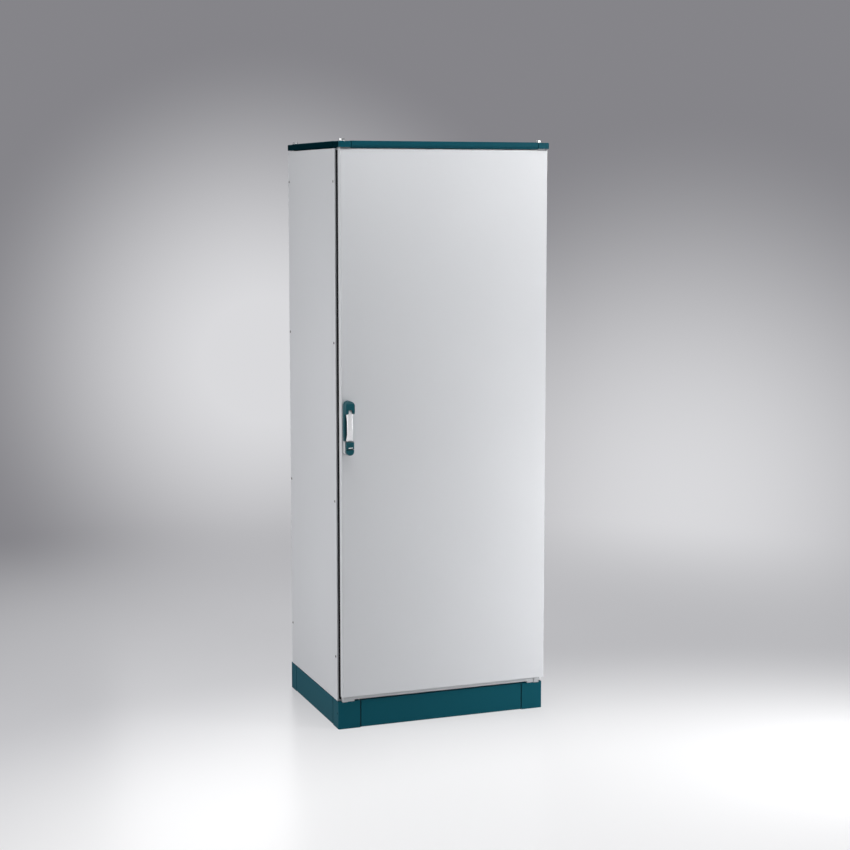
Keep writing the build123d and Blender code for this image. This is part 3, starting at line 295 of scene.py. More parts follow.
def brushedMetal(name, colour, lines, rough=0.3):
    # fine lines along the stretched axis, as from a brush
    material, nodes = newFinish(name)
    place = objectPlace(nodes)
    hair = noise(nodes, stretched(nodes, place, lines), 1.0, 3.0, 0.6)
    cloud = noise(nodes, place, 25.0, 2.0)
    surface(
        nodes,
        Base_Color=toned(nodes, hair * 0.7 + cloud * 0.3, colour, 0.9, 1.08),
        Metallic=1.0,
        Roughness=rough - 0.06 + hair * 0.16,
        Normal=bumped(nodes, hair, 0.15, 0.02 * mm, 0.4 * mm))
    return material


def foam(name, colour):
    # closed cells under a thin skin
    material, nodes = newFinish(name)
    place = objectPlace(nodes)
    bubble = cells(nodes, place, 900.0, "Distance")
    skin = noise(nodes, place, 60.0, 3.0)
    surface(
        nodes,
        Base_Color=toned(nodes, skin, colour, 0.7, 1.5),
        Roughness=0.75 + bubble * 0.2,
        Specular_IOR_Level=0.15,
        Normal=bumped(nodes, bubble * 0.7 + skin * 0.3, 0.5, 0.3 * mm))
    return material


def cardFinish(name, plate, board, plateDepth=3.5 * mm):
    # pale satin plates in front, and green boards behind them with fine copper tracks and dark chips
    material, nodes = newFinish(name)
    place = objectPlace(nodes)
    _, y, z = axes(nodes, place)
    behind = y > (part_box("controller_chassis")[0].y + plateDepth)
    hair = noise(nodes, stretched(nodes, place, (60, 60, 1400)), 1.0, 2.0)
    ladder = (z * 220.0 + noise(nodes, place, 60.0) * 2.0) % 1.0
    track = eased(nodes, ladder, 0.55, 0.62) * eased(nodes, noise(nodes, place, 45.0), 0.45, 0.5)
    chip = cells(nodes, stretched(nodes, place, (0, 45, 30)), 1.0, "Distance") < 0.28
    etched = mixed(nodes, track, board, shade(board, 1.9))
    filled = mixed(nodes, chip, etched, (0.015, 0.015, 0.017))
    satin = toned(nodes, hair, plate, 0.95, 1.04)
    surface(
        nodes,
        Base_Color=mixed(nodes, behind, satin, filled),
        Roughness=0.36 + hair * 0.1 + behind * 0.08,
        Normal=bumped(nodes, track * behind + chip * behind + hair * 0.1, 0.4, 0.2 * mm, 0.3 * mm))
    return material


def terminalFinish(name, colour, pitch):
    # a row of thin mouldings clipped side by side, with a groove between each pair that is darkened as
    # painted shade
    material, nodes = newFinish(name)
    place = objectPlace(nodes)
    x = axes(nodes, place)[0]
    step = (x / pitch + 0.5) % 1.0
    joint = eased(nodes, step, 0.0, 0.07) * eased(nodes, step, 1.0, 0.93)
    grain = noise(nodes, place, 1800.0, 1.0)
    body = toned(nodes, noise(nodes, place, 30.0, 2.0), colour, 0.93, 1.05)
    surface(
        nodes,
        # painted shade: a darker copy of the colour in the groove between terminals
        Base_Color=mixed(nodes, joint, shade(colour, 0.25), body),
        Roughness=0.4 + grain * 0.12,
        Normal=bumped(nodes, joint + grain * 0.04, 0.6, 0.5 * mm, 0.4 * mm))
    return material


def lampLens(name, colour, glow):
    # a tinted dome, clouded a little, that glows by itself
    material, nodes = newFinish(name)
    swirl = noise(nodes, objectPlace(nodes), 700.0, 2.0)
    surface(
        nodes,
        Base_Color=toned(nodes, swirl, colour, 0.75, 1.0),
        Roughness=0.12 + swirl * 0.08,
        Emission_Color=(*colour, 1), Emission_Strength=glow,
        Coat_Weight=0.5)
    return material


greys = {"door": (0.615, 0.625, 0.645), "frame": (0.50, 0.51, 0.52), "moulding": (0.47, 0.48, 0.49)}
petrols = {
    "plinth": (0.0055, 0.079, 0.108), "trim": (0.005, 0.068, 0.094), "handle": (0.007, 0.078, 0.098)}
cornerReach = -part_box("roof_corner_front_left")[0].x - 0.5 * mm  # just inside the outer faces of the trim
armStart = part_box("handle_lever")[0].z - 1 * mm

finishes = {
    "cabinet_grey": powderCoat("cabinetPaint", greys["door"], rough=0.4),
    "frame_grey": powderCoat("framePaint", greys["frame"], rough=0.5, grain=1100),
    "plinth_teal": powderCoat(
        "plinthPaint", petrols["plinth"], rough=0.5, grain=1300, strength=0.2, gloss=0.04),
    "trim_teal": trimMoulding("trimMoulding", petrols["trim"], cornerReach),
    "zinc_steel": zincPlating("zincSteel", (0.60, 0.61, 0.62)),
    "lever_silver": silverLacquer("leverSilver", (0.87, 0.875, 0.89)),
    "handle_grey": handleBase("handleBaseMoulding", greys["moulding"], petrols["handle"], armStart),
    "handle_teal": mouldedPlastic(
        "handleMoulding", petrols["handle"], rough=0.28, edge=0.8 * mm, gloss=0.2),
    "seal_black": foam("sealFoam", (0.009, 0.009, 0.010)),
    "pocket_grey": mouldedPlastic("pocketMoulding", (0.52, 0.53, 0.54), rough=0.46),
    "chassis_metal": brushedMetal("chassisSheet", (0.56, 0.57, 0.59), (50, 1500, 1500), rough=0.34),
    "card_front": cardFinish("cardPlatesAndBoards", (0.58, 0.58, 0.55), (0.012, 0.085, 0.03)),
    "power_dark": powderCoat(
        "powerUnitPaint", (0.022, 0.024, 0.027), rough=0.5, grain=1600, strength=0.3),
    "terminal_beige": terminalFinish("terminalMouldings", (0.42, 0.40, 0.33), 6 * mm),
    "switch_black": mouldedPlastic("switchMoulding", (0.02, 0.02, 0.021), rough=0.38),
    "knob_red": mouldedPlastic("knobMoulding", (0.42, 0.016, 0.013), rough=0.28),
    "earth_copper": brushedMetal("earthBar", (0.70, 0.40, 0.24), (30, 1600, 1600), rough=0.28),
}
screwSteel = zincPlating("screwSteel", (0.09, 0.09, 0.095), rough=0.45)
# painted shade on the side trims: all but their top faces are darkened
shadedSideTrim = trimMoulding("shadedSideTrimMoulding", petrols["trim"], 0.0)
lenses = {
    "green": lampLens("greenLens", (0.03, 0.55, 0.12), 0.5),
    "amber": lampLens("amberLens", (0.85, 0.36, 0.02), 0.4),
    "red": lampLens("redLens", (0.6, 0.02, 0.02), 0.15),
}

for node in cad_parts.values():
    for materialSlot in node.material_slots:
        materialSlot.material = finishes[materialSlot.material.name.split(".")[0]]
for side in ("left", "right"):
    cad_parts[f"roof_trim_{side}"].material_slots[0].material = shadedSideTrim
print("finishes made:", len([*finishes, screwSteel, shadedSideTrim, *lenses]))


# Surfaces on grids

def unitOutline(kind, angle):
    # the radius at each angle: a circle, a hexagon of unit reach, six soft lobes, or a slot's long ellipse
    if kind == "hexagon":
        return math.cos(math.pi / 6) / np.cos(angle % (math.pi / 3) - math.pi / 6)
    if kind == "lobes":
        return 1 + 0.13 * np.cos(6 * angle)
    if kind == "slot":
        return 0.2 / np.sqrt((0.2 * np.cos(angle)) ** 2 + np.sin(angle) ** 2)
    return np.ones_like(angle)


def turnedGrid(rows, steps, bevel=0.0):
    # each row is an outline at a radius and a height about the +Z axis; on a hexagon's top row the height
    # falls by bevel times the reach beyond its flats, which gives the turned chamfer of a nut
    angle = np.arange(steps) * 2 * math.pi / steps
    grid = []
    for kind, radius, height, *chamfered in rows:
        reach = radius * unitOutline(kind, angle)
        drop = bevel * (reach - reach.min()) if chamfered else 0 * reach
        grid.append(np.stack([reach * np.cos(angle), reach * np.sin(angle), height - drop], -1))
    return np.array(grid)


def cornerTurns(steps):  # the angles round four corners, a quarter turn at each
    turn = np.linspace(0, math.pi / 2, steps)
    return np.concatenate([turn + quarter * math.pi / 2 for quarter in range(4)])


def blockGrid(halfWidth, halfHeight, corner, rows, steps=4, tightest=0.05 * mm):
    # a rounded rectangle carried up the +Z axis: each row draws it in by an inset, and an inset of None
    # gathers the row to its middle, which closes the end
    turns = cornerTurns(steps)
    sideX = np.repeat([1, -1, -1, 1], steps)
    sideY = np.repeat([1, 1, -1, -1], steps)
    grid = []
    for inset, height in rows:
        if inset is None:
            grid.append(np.stack([0 * turns, 0 * turns, 0 * turns + height], -1))
            continue
        bend = max(corner - inset, tightest)
        x = sideX * (halfWidth - inset - bend) + bend * np.cos(turns)
        y = sideY * (halfHeight - inset - bend) + bend * np.sin(turns)
        grid.append(np.stack([x, y, 0 * turns + height], -1))
    return np.array(grid)


def ringGrid(halfWidth, halfHeight, corner, section, steps=8):
    # a section carried round a rounded rectangle in XZ: its first number is the distance out from the line
    # and its second the height above the line's plane towards +Y
    line = blockGrid(halfWidth, halfHeight, corner, [(0, 0)], steps)[0]
    turns = cornerTurns(steps)
    outward = np.stack([np.cos(turns), 0 * turns, np.sin(turns)], -1)
    base = np.stack([line[:, 0], 0 * turns, line[:, 1]], -1)
    section = np.asarray(section)
    upward = np.array((0, 1.0, 0))
    return base[None] + outward[None] * section[:, 0, None, None] + upward * section[:, 1, None, None]


def facing(axis):  # three directions: the third along the axis, the second as upright as it can be
    along = np.array(axis, float) / np.linalg.norm(axis)
    upright = np.array((0, 0, 1.0)) if abs(along[2]) < 0.9 else np.array((0, 1.0, 0))
    across = np.cross(upright, along)
    across = across / np.linalg.norm(across)
    return np.array([across, np.cross(along, across), along])


def placed(grid, places, axis):  # a copy of the grid at each place, its +Z along the axis
    turned = grid @ facing(axis)
    return np.asarray(places, float)[:, None, None, :] + turned[None]


def buildPiece(name, grids, body, slot, finish=None, replaced=(), wrapRows=False, sharp=40):
    # quads between neighbouring rows and columns of every copy; columns run round, and so do rows if asked;
    # the finish is the slot's own unless one is given
    points = []
    faces = []
    start = 0
    for grid in grids:
        copies, rows, columns = grid.shape[:3]
        index = start + np.arange(copies * rows * columns).reshape(copies, rows, columns)
        following = np.roll(index, -1, axis=2)
        if wrapRows:
            above = np.roll(index, -1, axis=1)
            quads = np.stack([index, following, np.roll(above, -1, axis=2), above], -1)
        else:
            quads = np.stack([index[:, :-1], following[:, :-1], following[:, 1:], index[:, 1:]], -1)
        points.append(grid.reshape(-1, 3))
        faces.append(quads.reshape(-1, 4))
        start += copies * rows * columns
    mesh = bpy.data.meshes.new(name)
    mesh.from_pydata(np.concatenate(points).tolist(), [], np.concatenate(faces).tolist())
    shell = bmesh.new()
    shell.from_mesh(mesh)
    bmesh.ops.remove_doubles(shell, verts=shell.verts, dist=0.002 * mm)
    bmesh.ops.dissolve_degenerate(shell, edges=shell.edges, dist=0.001 * mm)
    bmesh.ops.recalc_face_normals(shell, faces=shell.faces)
    shell.to_mesh(mesh)
    shell.free()
    mesh.polygons.foreach_set("use_smooth", np.ones(len(mesh.polygons), bool))
    mesh.set_sharp_from_angle(angle=math.radians(sharp))
    mesh.materials.append(finish or finishes[slot])
    piece = bpy.data.objects.new(name, mesh)
    bpy.context.scene.collection.objects.link(piece)
    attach(piece, body)
    if replaced:
        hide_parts(*replaced)
    print("piece", name, "with", len(mesh.polygons), "faces")


def screwRows(head, rise, drive="lobes", recess=0.5, shank=0.0, reach=0.0):
    # from the recess's floor over its rim and the domed head to the seat, and down the shank if there is one
    rows = [
        ("round", 0, rise * 0.35), (drive, head * recess * 0.92, rise * 0.35),
        (drive, head * recess, rise * 0.94), ("round", head * recess * 1.22, rise),
        ("round", head * 0.82, rise * 0.86), ("round", head * 0.96, rise * 0.5),
        ("round", head, rise * 0.12), ("round", head, 0),
    ]
    if shank:
        rows += [("round", shank, 0), ("round", shank, -reach)]
    return rows + [("round", 0, -reach)]


# Panel screws: small domed heads along the upright edges of the side and rear panels

panelScrews = {"head": 4.5 * mm, "rise": 1.6 * mm, "shank": 2.4 * mm, "reach": 9 * mm, "rows": 4}
low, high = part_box("panel_screws")
leftLow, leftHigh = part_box("side_panel_left")
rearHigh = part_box("rear_panel")[1]
rowHeights = np.linspace(low.z + panelScrews["head"], high.z - panelScrews["head"], panelScrews["rows"])
sideDepth = low.y + panelScrews["head"]
rearPlace = rearHigh.x - (leftHigh.y + sideDepth)
screw = turnedGrid(screwRows(
    panelScrews["head"], panelScrews["rise"], shank=panelScrews["shank"], reach=panelScrews["reach"]), 24)
sideHoles = [(y, z) for y in (sideDepth, -sideDepth) for z in rowHeights]
rearHoles = [(x, rearHigh.y, z) for x in (-rearPlace, rearPlace) for z in rowHeights]
screwGrids = [
    placed(screw, [(side * -leftLow.x, y, z) for y, z in sideHoles], (side, 0, 0)) for side in (-1, 1)]
screwGrids.append(placed(screw, rearHoles, (0, 1, 0)))
buildPiece("panel_screw_heads", screwGrids, "cabinet", "zinc_steel", screwSteel, ["panel_screws"])


# Panel edge seals: a soft black lip on the front return of each side panel, in the gap behind the door; a
# seal, and also a dark sheet in painted shade for the deep shadow of that gap

edgeSealAndShade = {"start": 5.5 * mm, "width": 8.3 * mm, "foot": 1.8 * mm, "bulb": 2.7 * mm, "ends": 5 * mm}
foot = edgeSealAndShade["foot"]
bulbMiddle = np.array((edgeSealAndShade["width"] - edgeSealAndShade["bulb"], foot))
bulbTurn = np.linspace(math.pi * 0.86, 0, 14)
lipLine = np.concatenate([
    [(0, 0), (0, foot - 0.6 * mm), (0.2 * mm, foot - 0.2 * mm), (0.6 * mm, foot)],
    bulbMiddle + edgeSealAndShade["bulb"] * np.stack([np.cos(bulbTurn), np.sin(bulbTurn)], -1),
    [(edgeSealAndShade["width"], 0)]])
lipMiddle = np.repeat([(edgeSealAndShade["width"] / 2, foot / 2)], len(lipLine), 0)
lipEnds = (leftLow.z + edgeSealAndShade["ends"], leftHigh.z - edgeSealAndShade["ends"])
# the outline at both ends, each end gathered to its middle; across is x, and the height is towards the door
lipGrid = np.array([
    np.stack([leftLow.x + edgeSealAndShade["start"] + line[:, 0], leftLow.y - line[:, 1], 0 * line[:, 0] + z], -1)
    for z, line in (
        (lipEnds[0], lipMiddle), (lipEnds[0], lipLine), (lipEnds[1], lipLine), (lipEnds[1], lipMiddle))])
buildPiece(
    "panel_edge_seals_and_gap_shade", [lipGrid[None], (lipGrid * (-1, 1, 1))[None]], "cabinet", "seal_black", sharp=60)


# Plinth joint strips: a soft black strip in each joint between the plinth's corners and panels

jointStrip = {
    "half": 2 * mm, "slack": 0.2 * mm, "rise": 0.8 * mm, "root": 0.8 * mm, "top": 0.4 * mm,
    "wall": 3 * mm, "corner": 0.6 * mm, "edge": 0.5 * mm}
low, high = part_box("plinth_corner_front_left")
jointX = high.x + jointStrip["half"]
jointY = high.y + jointStrip["half"]
stripX = -low.x - jointStrip["wall"]
stripY = -low.y - jointStrip["wall"]
stripZ = (low.z + high.z) / 2
rise, root, edge = jointStrip["rise"], -jointStrip["root"], jointStrip["edge"]
strip = blockGrid(
    jointStrip["half"] - jointStrip["slack"], (high.z - low.z) / 2 - jointStrip["top"], jointStrip["corner"],
    [(None, rise), (edge, rise), (0, rise - edge), (0, root), (None, root)])
stripGrids = [
    placed(strip, [(x, end * stripY, stripZ) for x in (jointX, -jointX)], (0, end, 0)) for end in (-1, 1)]
stripGrids += [
    placed(strip, [(side * stripX, y, stripZ) for y in (jointY, -jointY)], (side, 0, 0)) for side in (-1, 1)]
buildPiece("plinth_joint_strips", stripGrids, "cabinet", "seal_black")


# Release rib: a pale grip bar across the foot of the release button; partly a rib, and partly a painted
# highlight for the light caught on the button's lower edge

releaseRibHighlight = {
    "halfWidth": 8 * mm, "halfHeight": 1.5 * mm, "corner": 1.4 * mm, "rise": 1.2 * mm, "root": 0.3 * mm,
    "up": 4.2 * mm}
low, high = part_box("release_button")
rise, root = releaseRibHighlight["rise"], -releaseRibHighlight["root"]
rib = blockGrid(releaseRibHighlight["halfWidth"], releaseRibHighlight["halfHeight"], releaseRibHighlight["corner"], [
    (None, rise), (0.9 * mm, rise), (0.3 * mm, rise * 0.7), (0, 0.2 * mm), (0, root), (None, root)], 6)
ribPlace = [((low.x + high.x) / 2, low.y, low.z + releaseRibHighlight["up"])]
buildPiece("release_rib_and_highlight", [placed(rib, ribPlace, frontward)], "button", "lever_silver")


# Roof bolts: hexagon heads with turned tops on washers, at the corners of the roof

roofBolts = {"head": 10 * mm, "washer": 12 * mm, "washerSheet": 2 * mm, "shank": 6 * mm, "chamfer": 0.6}
low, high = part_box("roof_bolts")
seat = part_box("roof_corner_front_left")[1].z
shelf = seat + roofBolts["washerSheet"]
head, washer, shank = roofBolts["head"], roofBolts["washer"], roofBolts["shank"]
bolt = turnedGrid([
    ("round", 0, high.z), ("round", head * 0.82, high.z), ("hexagon", head, high.z, True),
    ("hexagon", head, shelf), ("round", washer * 0.96, shelf), ("round", washer, shelf - 0.3 * mm),
    ("round", washer, seat), ("round", shank, seat), ("round", shank, low.z + 2 * mm),
    ("round", shank * 0.8, low.z), ("round", 0, low.z)], 48, roofBolts["chamfer"])
boltPlaces = [
    (side * (high.x - washer), y, 0) for side in (-1, 1) for y in (low.y + washer, high.y - washer)]
buildPiece(
    "roof_bolt_heads", [placed(bolt, boltPlaces, (0, 0, 1))], "cabinet", "zinc_steel",
    replaced=["roof_bolts"])


# Door seal: a foamed bead round the inside of the door

seal = {"width": 14 * mm, "corner": 12 * mm, "crown": 0.55, "steps": 18}
low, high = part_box("door_seal")
half = seal["width"] / 2
sweep = np.linspace(0, math.pi, seal["steps"])
bead = np.stack([half * np.cos(sweep), (high.y - low.y) * np.sin(sweep) ** seal["crown"]], -1)
ring = ringGrid(high.x - half, (high.z - low.z) / 2 - half, seal["corner"], bead)
sealPlace = np.array((0, low.y, (low.z + high.z) / 2))
buildPiece(
    "door_seal_bead", [ring[None] + sealPlace], "door", "seal_black", replaced=["door_seal"],
    wrapRows=True, sharp=60)


# Card fronts: captive screws, lamps, a socket and a blank label strip on each plug-in card

cards = {
    "count": 12, "gap": 1 * mm, "plateSeat": 0.5 * mm, "screw": 2.6 * mm, "screwRise": 1.8 * mm,
    "screwInset": 6 * mm, "pull": 20 * mm, "lamp": 2.4 * mm, "lampDrop": 24 * mm, "lampPitch": 9 * mm,
    "labelUp": 11 * mm, "socketDrop": 10 * mm, "contactSide": 1.6 * mm, "contactPitch": 4 * mm,
    "contactReach": 5}
low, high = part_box("plug_in_cards")
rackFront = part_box("controller_chassis")[0].y
plateFront = rackFront + cards["plateSeat"]
cardPitch = (high.x - low.x + cards["gap"]) / cards["count"]
cardMiddles = low.x + cardPitch * (np.arange(cards["count"]) + 0.5) - cards["gap"] / 2


def cardPlaces(*heights):  # the given heights on every card
    return [(x, plateFront, z) for x in cardMiddles for z in heights]


captive = turnedGrid(screwRows(cards["screw"], cards["screwRise"], "slot", 0.86), 20)
captivePlaces = cardPlaces(low.z + cards["screwInset"], high.z - cards["screwInset"])
buildPiece("card_screws", [placed(captive, captivePlaces, frontward)], "cabinet", "zinc_steel")

dome = turnedGrid([
    ("round", 0, 2.6 * mm), ("round", 1.2 * mm, 2.3 * mm), ("round", 1.9 * mm, 1.5 * mm),
    ("round", 2.1 * mm, 0.7 * mm), ("round", cards["lamp"], 0.5 * mm), ("round", cards["lamp"], 0),
    ("round", 0, 0)], 16)
lampTop = high.z - cards["pull"] - cards["lampDrop"]
for row, tint in enumerate(("green", "amber", "red")):
    lampPlaces = cardPlaces(lampTop - row * cards["lampPitch"])
    buildPiece(
        f"card_lamps_{tint}", [placed(dome, lampPlaces, frontward)], "cabinet", "card_front", lenses[tint])

label = blockGrid(12 * mm, 5 * mm, 1 * mm, [
    (None, 0.6 * mm), (0.3 * mm, 0.6 * mm), (0, 0.4 * mm), (0, 0), (None, 0)])
buildPiece(
    "card_label_strips", [placed(label, cardPlaces(lampTop + cards["labelUp"]), frontward)],
    "cabinet", "card_front", finishes["pocket_grey"])

socketHeight = (low.z + high.z) / 2 - cards["socketDrop"]
socketPlaces = cardPlaces(socketHeight)
shell = blockGrid(5.5 * mm, 27 * mm, 4 * mm, [
    (None, 2 * mm), (1.6 * mm, 2 * mm), (1.4 * mm, 6 * mm), (0.5 * mm, 6 * mm), (0, 5.4 * mm), (0, 1.2 * mm),
    (-2.4 * mm, 1.2 * mm), (-2.6 * mm, 0.9 * mm), (-2.6 * mm, 0), (None, 0)], 5)
buildPiece("card_socket_shells", [placed(shell, socketPlaces, frontward)], "cabinet", "zinc_steel")
insert = blockGrid(3.6 * mm, 25 * mm, 2.6 * mm, [
    (None, 4.6 * mm), (0.4 * mm, 4.6 * mm), (0, 4.2 * mm), (0, 2 * mm), (None, 2 * mm)])
buildPiece("card_socket_inserts", [placed(insert, socketPlaces, frontward)], "cabinet", "switch_black")
contact = turnedGrid([
    ("round", 0, 3.6 * mm), ("round", 0.55 * mm, 3.6 * mm), ("round", 0.7 * mm, 4.7 * mm),
    ("round", 1.0 * mm, 4.7 * mm), ("round", 1.0 * mm, 3.4 * mm), ("round", 0, 3.4 * mm)], 8)
contactSteps = np.arange(-cards["contactReach"], cards["contactReach"] + 1)
contactPlaces = [
    (x + side * cards["contactSide"], plateFront, socketHeight + step * cards["contactPitch"])
    for x in cardMiddles for side in (-1, 1) for step in contactSteps]
buildPiece("card_socket_contacts", [placed(contact, contactPlaces, frontward)], "cabinet", "earth_copper")


# Rack screws: pan heads on washers that hold the chassis and the power unit to the rack rails

rackScrews = {
    "head": 5 * mm, "rise": 3 * mm, "washer": 7 * mm, "washerSheet": 1 * mm, "spacing": 465.1 * mm,
    "inset": 20 * mm}
sheet, washer = rackScrews["washerSheet"], rackScrews["washer"]
panRows = [
    (kind, radius, height + sheet)
    for kind, radius, height in screwRows(rackScrews["head"], rackScrews["rise"], recess=0.56)[:-1]]
pan = turnedGrid(panRows + [("round", washer, sheet), ("round", washer, 0), ("round", 0, 0)], 24)
rackPlaces = []
for unit in ("controller_chassis", "power_unit"):
    low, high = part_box(unit)
    rackPlaces += [
        (side * rackScrews["spacing"] / 2, rackFront, z) for side in (-1, 1)
        for z in (low.z + rackScrews["inset"], high.z - rackScrews["inset"])]
buildPiece("rack_screws", [placed(pan, rackPlaces, frontward)], "cabinet", "zinc_steel")


# Power unit front: fuse caps, a rocker and two lamps beside the vents

powerFront = {
    "fuse": 7 * mm, "fusePitch": 26 * mm, "column": 125 * mm, "rocker": (8 * mm, 13 * mm),
    "rockerInset": 2.2 * mm, "rockerTip": 0.22, "lampPitch": 28 * mm, "lampScale": 1.4}
low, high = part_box("power_unit")
middle = (low.z + high.z) / 2
fuse = turnedGrid([
    ("round", 0, 9 * mm), ("slot", 4 * mm, 9 * mm), ("slot", 4.4 * mm, 10.5 * mm),
    ("round", 5.4 * mm, 10.5 * mm), ("lobes", 5.9 * mm, 9.6 * mm), ("lobes", 6.0 * mm, 3 * mm),
    ("round", powerFront["fuse"], 2.4 * mm), ("round", powerFront["fuse"], 0), ("round", 0, 0)], 48)
fusePlaces = [
    (powerFront["column"], rackFront, middle + step * powerFront["fusePitch"]) for step in (-1, 0, 1)]
buildPiece("fuse_caps", [placed(fuse, fusePlaces, frontward)], "cabinet", "switch_black")
rockerPlace = [(-powerFront["column"], rackFront, middle)]
bezel = blockGrid(*powerFront["rocker"], 1.5 * mm, [
    (None, 1 * mm), (2 * mm, 1 * mm), (1.6 * mm, 2.4 * mm), (0.6 * mm, 2.4 * mm), (0, 1.8 * mm), (0, 0),
    (None, 0)])
buildPiece("rocker_bezel", [placed(bezel, rockerPlace, frontward)], "cabinet", "switch_black")
rocker = blockGrid(*(size - powerFront["rockerInset"] for size in powerFront["rocker"]), 0.8 * mm, [
    (None, 4.4 * mm), (0.8 * mm, 4.6 * mm), (0, 4.0 * mm), (0, 0.8 * mm), (None, 0.8 * mm)])
# the tipped face of a rocker: its front rows rise with the height above the middle
rocker[..., 2] += np.where(rocker[..., 2] > 2 * mm, rocker[..., 1] * powerFront["rockerTip"], 0)
buildPiece("rocker_switch", [placed(rocker, rockerPlace, frontward)], "cabinet", "knob_red")
powerLampPlaces = [
    (-powerFront["column"], rackFront, middle + side * powerFront["lampPitch"]) for side in (-1, 1)]
buildPiece(
    "power_lamps", [placed(dome * powerFront["lampScale"], powerLampPlaces, frontward)],
    "cabinet", "card_front", lenses["green"])


# Terminals: a clamp screw and a wire funnel at both ends of every thin terminal

terminals = {
    "blocks": 12, "pitch": 40 * mm, "slice": 6 * mm, "slices": 5, "tall": 58 * mm, "slope": 14 * mm,
    "screw": 2.2 * mm, "screwRise": 0.8 * mm, "screwOut": 10 * mm}
low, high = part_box("terminal_blocks")
blockReach = terminals["pitch"] * (terminals["blocks"] - 1) / 2
blockMiddles = np.linspace(-blockReach, blockReach, terminals["blocks"])
sliceShift = (np.arange(terminals["slices"]) - (terminals["slices"] - 1) / 2) * terminals["slice"]
sliceMiddles = (blockMiddles[:, None] + sliceShift[None]).ravel()
terminalRows = (low.z + terminals["tall"] / 2, high.z - terminals["tall"] / 2)
clamp = turnedGrid(screwRows(terminals["screw"], terminals["screwRise"], "slot", 0.9), 16)
clampPlaces = [
    (x, low.y, z + side * terminals["screwOut"])
    for z in terminalRows for side in (-1, 1) for x in sliceMiddles]
buildPiece("terminal_screws", [placed(clamp, clampPlaces, frontward)], "cabinet", "zinc_steel")
funnel = turnedGrid([
    ("round", 0, -0.2 * mm), ("round", 1.5 * mm, 0.1 * mm), ("round", 2.1 * mm, 0.7 * mm),
    ("round", 2.5 * mm, 0.7 * mm), ("round", 2.5 * mm, -0.4 * mm), ("round", 0, -0.4 * mm)], 12)
funnelY = low.y + terminals["slope"] / 2
funnelOut = (terminals["tall"] - terminals["slope"]) / 2
funnelGrids = [
    placed(
        funnel, [(x, funnelY, z + side * funnelOut) for z in terminalRows for x in sliceMiddles],
        (0, -1, side))
    for side in (-1, 1)]
buildPiece("terminal_funnels", funnelGrids, "cabinet", "switch_black")


# Earth bar: a stud with a washer and nut in every hole

earth = {
    "count": 7, "stud": 3 * mm, "studTop": 14 * mm, "studRoot": 8 * mm, "nut": 5.8 * mm, "nutTop": 6.4 * mm,
    "washer": 6.4 * mm, "washerSheet": 1.4 * mm, "chamfer": 0.6}
low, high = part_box("earth_bar")
holeReach = high.x - 2 * (high.z - low.z)
stud, studTop, studRoot = earth["stud"], earth["studTop"], -earth["studRoot"]
nut, nutTop, washer, sheet = earth["nut"], earth["nutTop"], earth["washer"], earth["washerSheet"]
fastening = turnedGrid([
    ("round", 0, studTop), ("round", stud * 0.7, studTop), ("round", stud, studTop - 1 * mm),
    ("round", stud, nutTop), ("round", nut * 0.84, nutTop), ("hexagon", nut, nutTop, True),
    ("hexagon", nut, sheet), ("round", washer, sheet), ("round", washer, 0), ("round", stud, 0),
    ("round", stud, studRoot), ("round", 0, studRoot)], 36, earth["chamfer"])
nutPlaces = [(x, low.y, (low.z + high.z) / 2) for x in np.linspace(-holeReach, holeReach, earth["count"])]
buildPiece("earth_nuts", [placed(fastening, nutPlaces, frontward)], "cabinet", "zinc_steel")


# Lock case screws: a small domed head near each corner of the case

lockScrews = {"head": 3 * mm, "rise": 1.2 * mm, "inset": 5 * mm}
small = turnedGrid(screwRows(lockScrews["head"], lockScrews["rise"], recess=0.52), 20)
low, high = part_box("lock_case")
casePlaces = [
    (x, high.y, z) for x in (low.x + lockScrews["inset"], high.x - lockScrews["inset"])
    for z in (low.z + lockScrews["inset"], high.z - lockScrews["inset"])]
buildPiece("lock_case_screws", [placed(small, casePlaces, (0, 1, 0))], "door", "zinc_steel")


# Floor, lamps, world and camera

# The camera's place. The far floor takes the backdrop's tone in the direction seen from here, so that the two
# meet without a line, and it keeps that tone in every other view.
eye = (-2.306, -6.238, 1.929)
backdropLook = {
    "dark": (0.235, 0.232, 0.25), "glow": (0.70, 0.70, 0.72),
    "pools": (((0.266, 0.960, -0.094), 10.0), ((0.480, 0.860, -0.172), 12.5))}


def vectorMaths(nodes, operation, first, second=(0, 0, 0), out="Vector"):  # a sum with two places
    return nodes.node("ShaderNodeVectorMath", {"operation": operation}, {0: first, 1: second}, out=out)


def backdropTone(nodes, direction):
    # painted light: a dark grey all round, rising to a paler grey in pools of light, each by the square of
    # how near the cosine of the angle from its aim comes to 1
    dim = 1.0
    for aim, reach in backdropLook["pools"]:
        near = vectorMaths(nodes, "DOT_PRODUCT", direction, aim, "Value")
        share = nodes.node("ShaderNodeMapRange", values={
            "Value": near, "From Min": math.cos(math.radians(reach))})
        dim = dim * (1 - share ** 2)
    return mixed(nodes, dim, backdropLook["glow"], backdropLook["dark"])


def seenDirectly(nodes):
    # 1 for what the camera sees, straight or in a reflection, and 0 for light on its way
    lightPath = nodes.node("ShaderNodeLightPath", out="Is Camera Ray")
    rays = {output.name: Wire(nodes, output) for output in lightPath.socket.node.outputs}
    return nodes.node("ShaderNodeMath", {"operation": "ADD", "use_clamp": True}, {
        0: rays["Is Camera Ray"] + rays["Is Glossy Ray"], 1: rays["Is Transmission Ray"]})


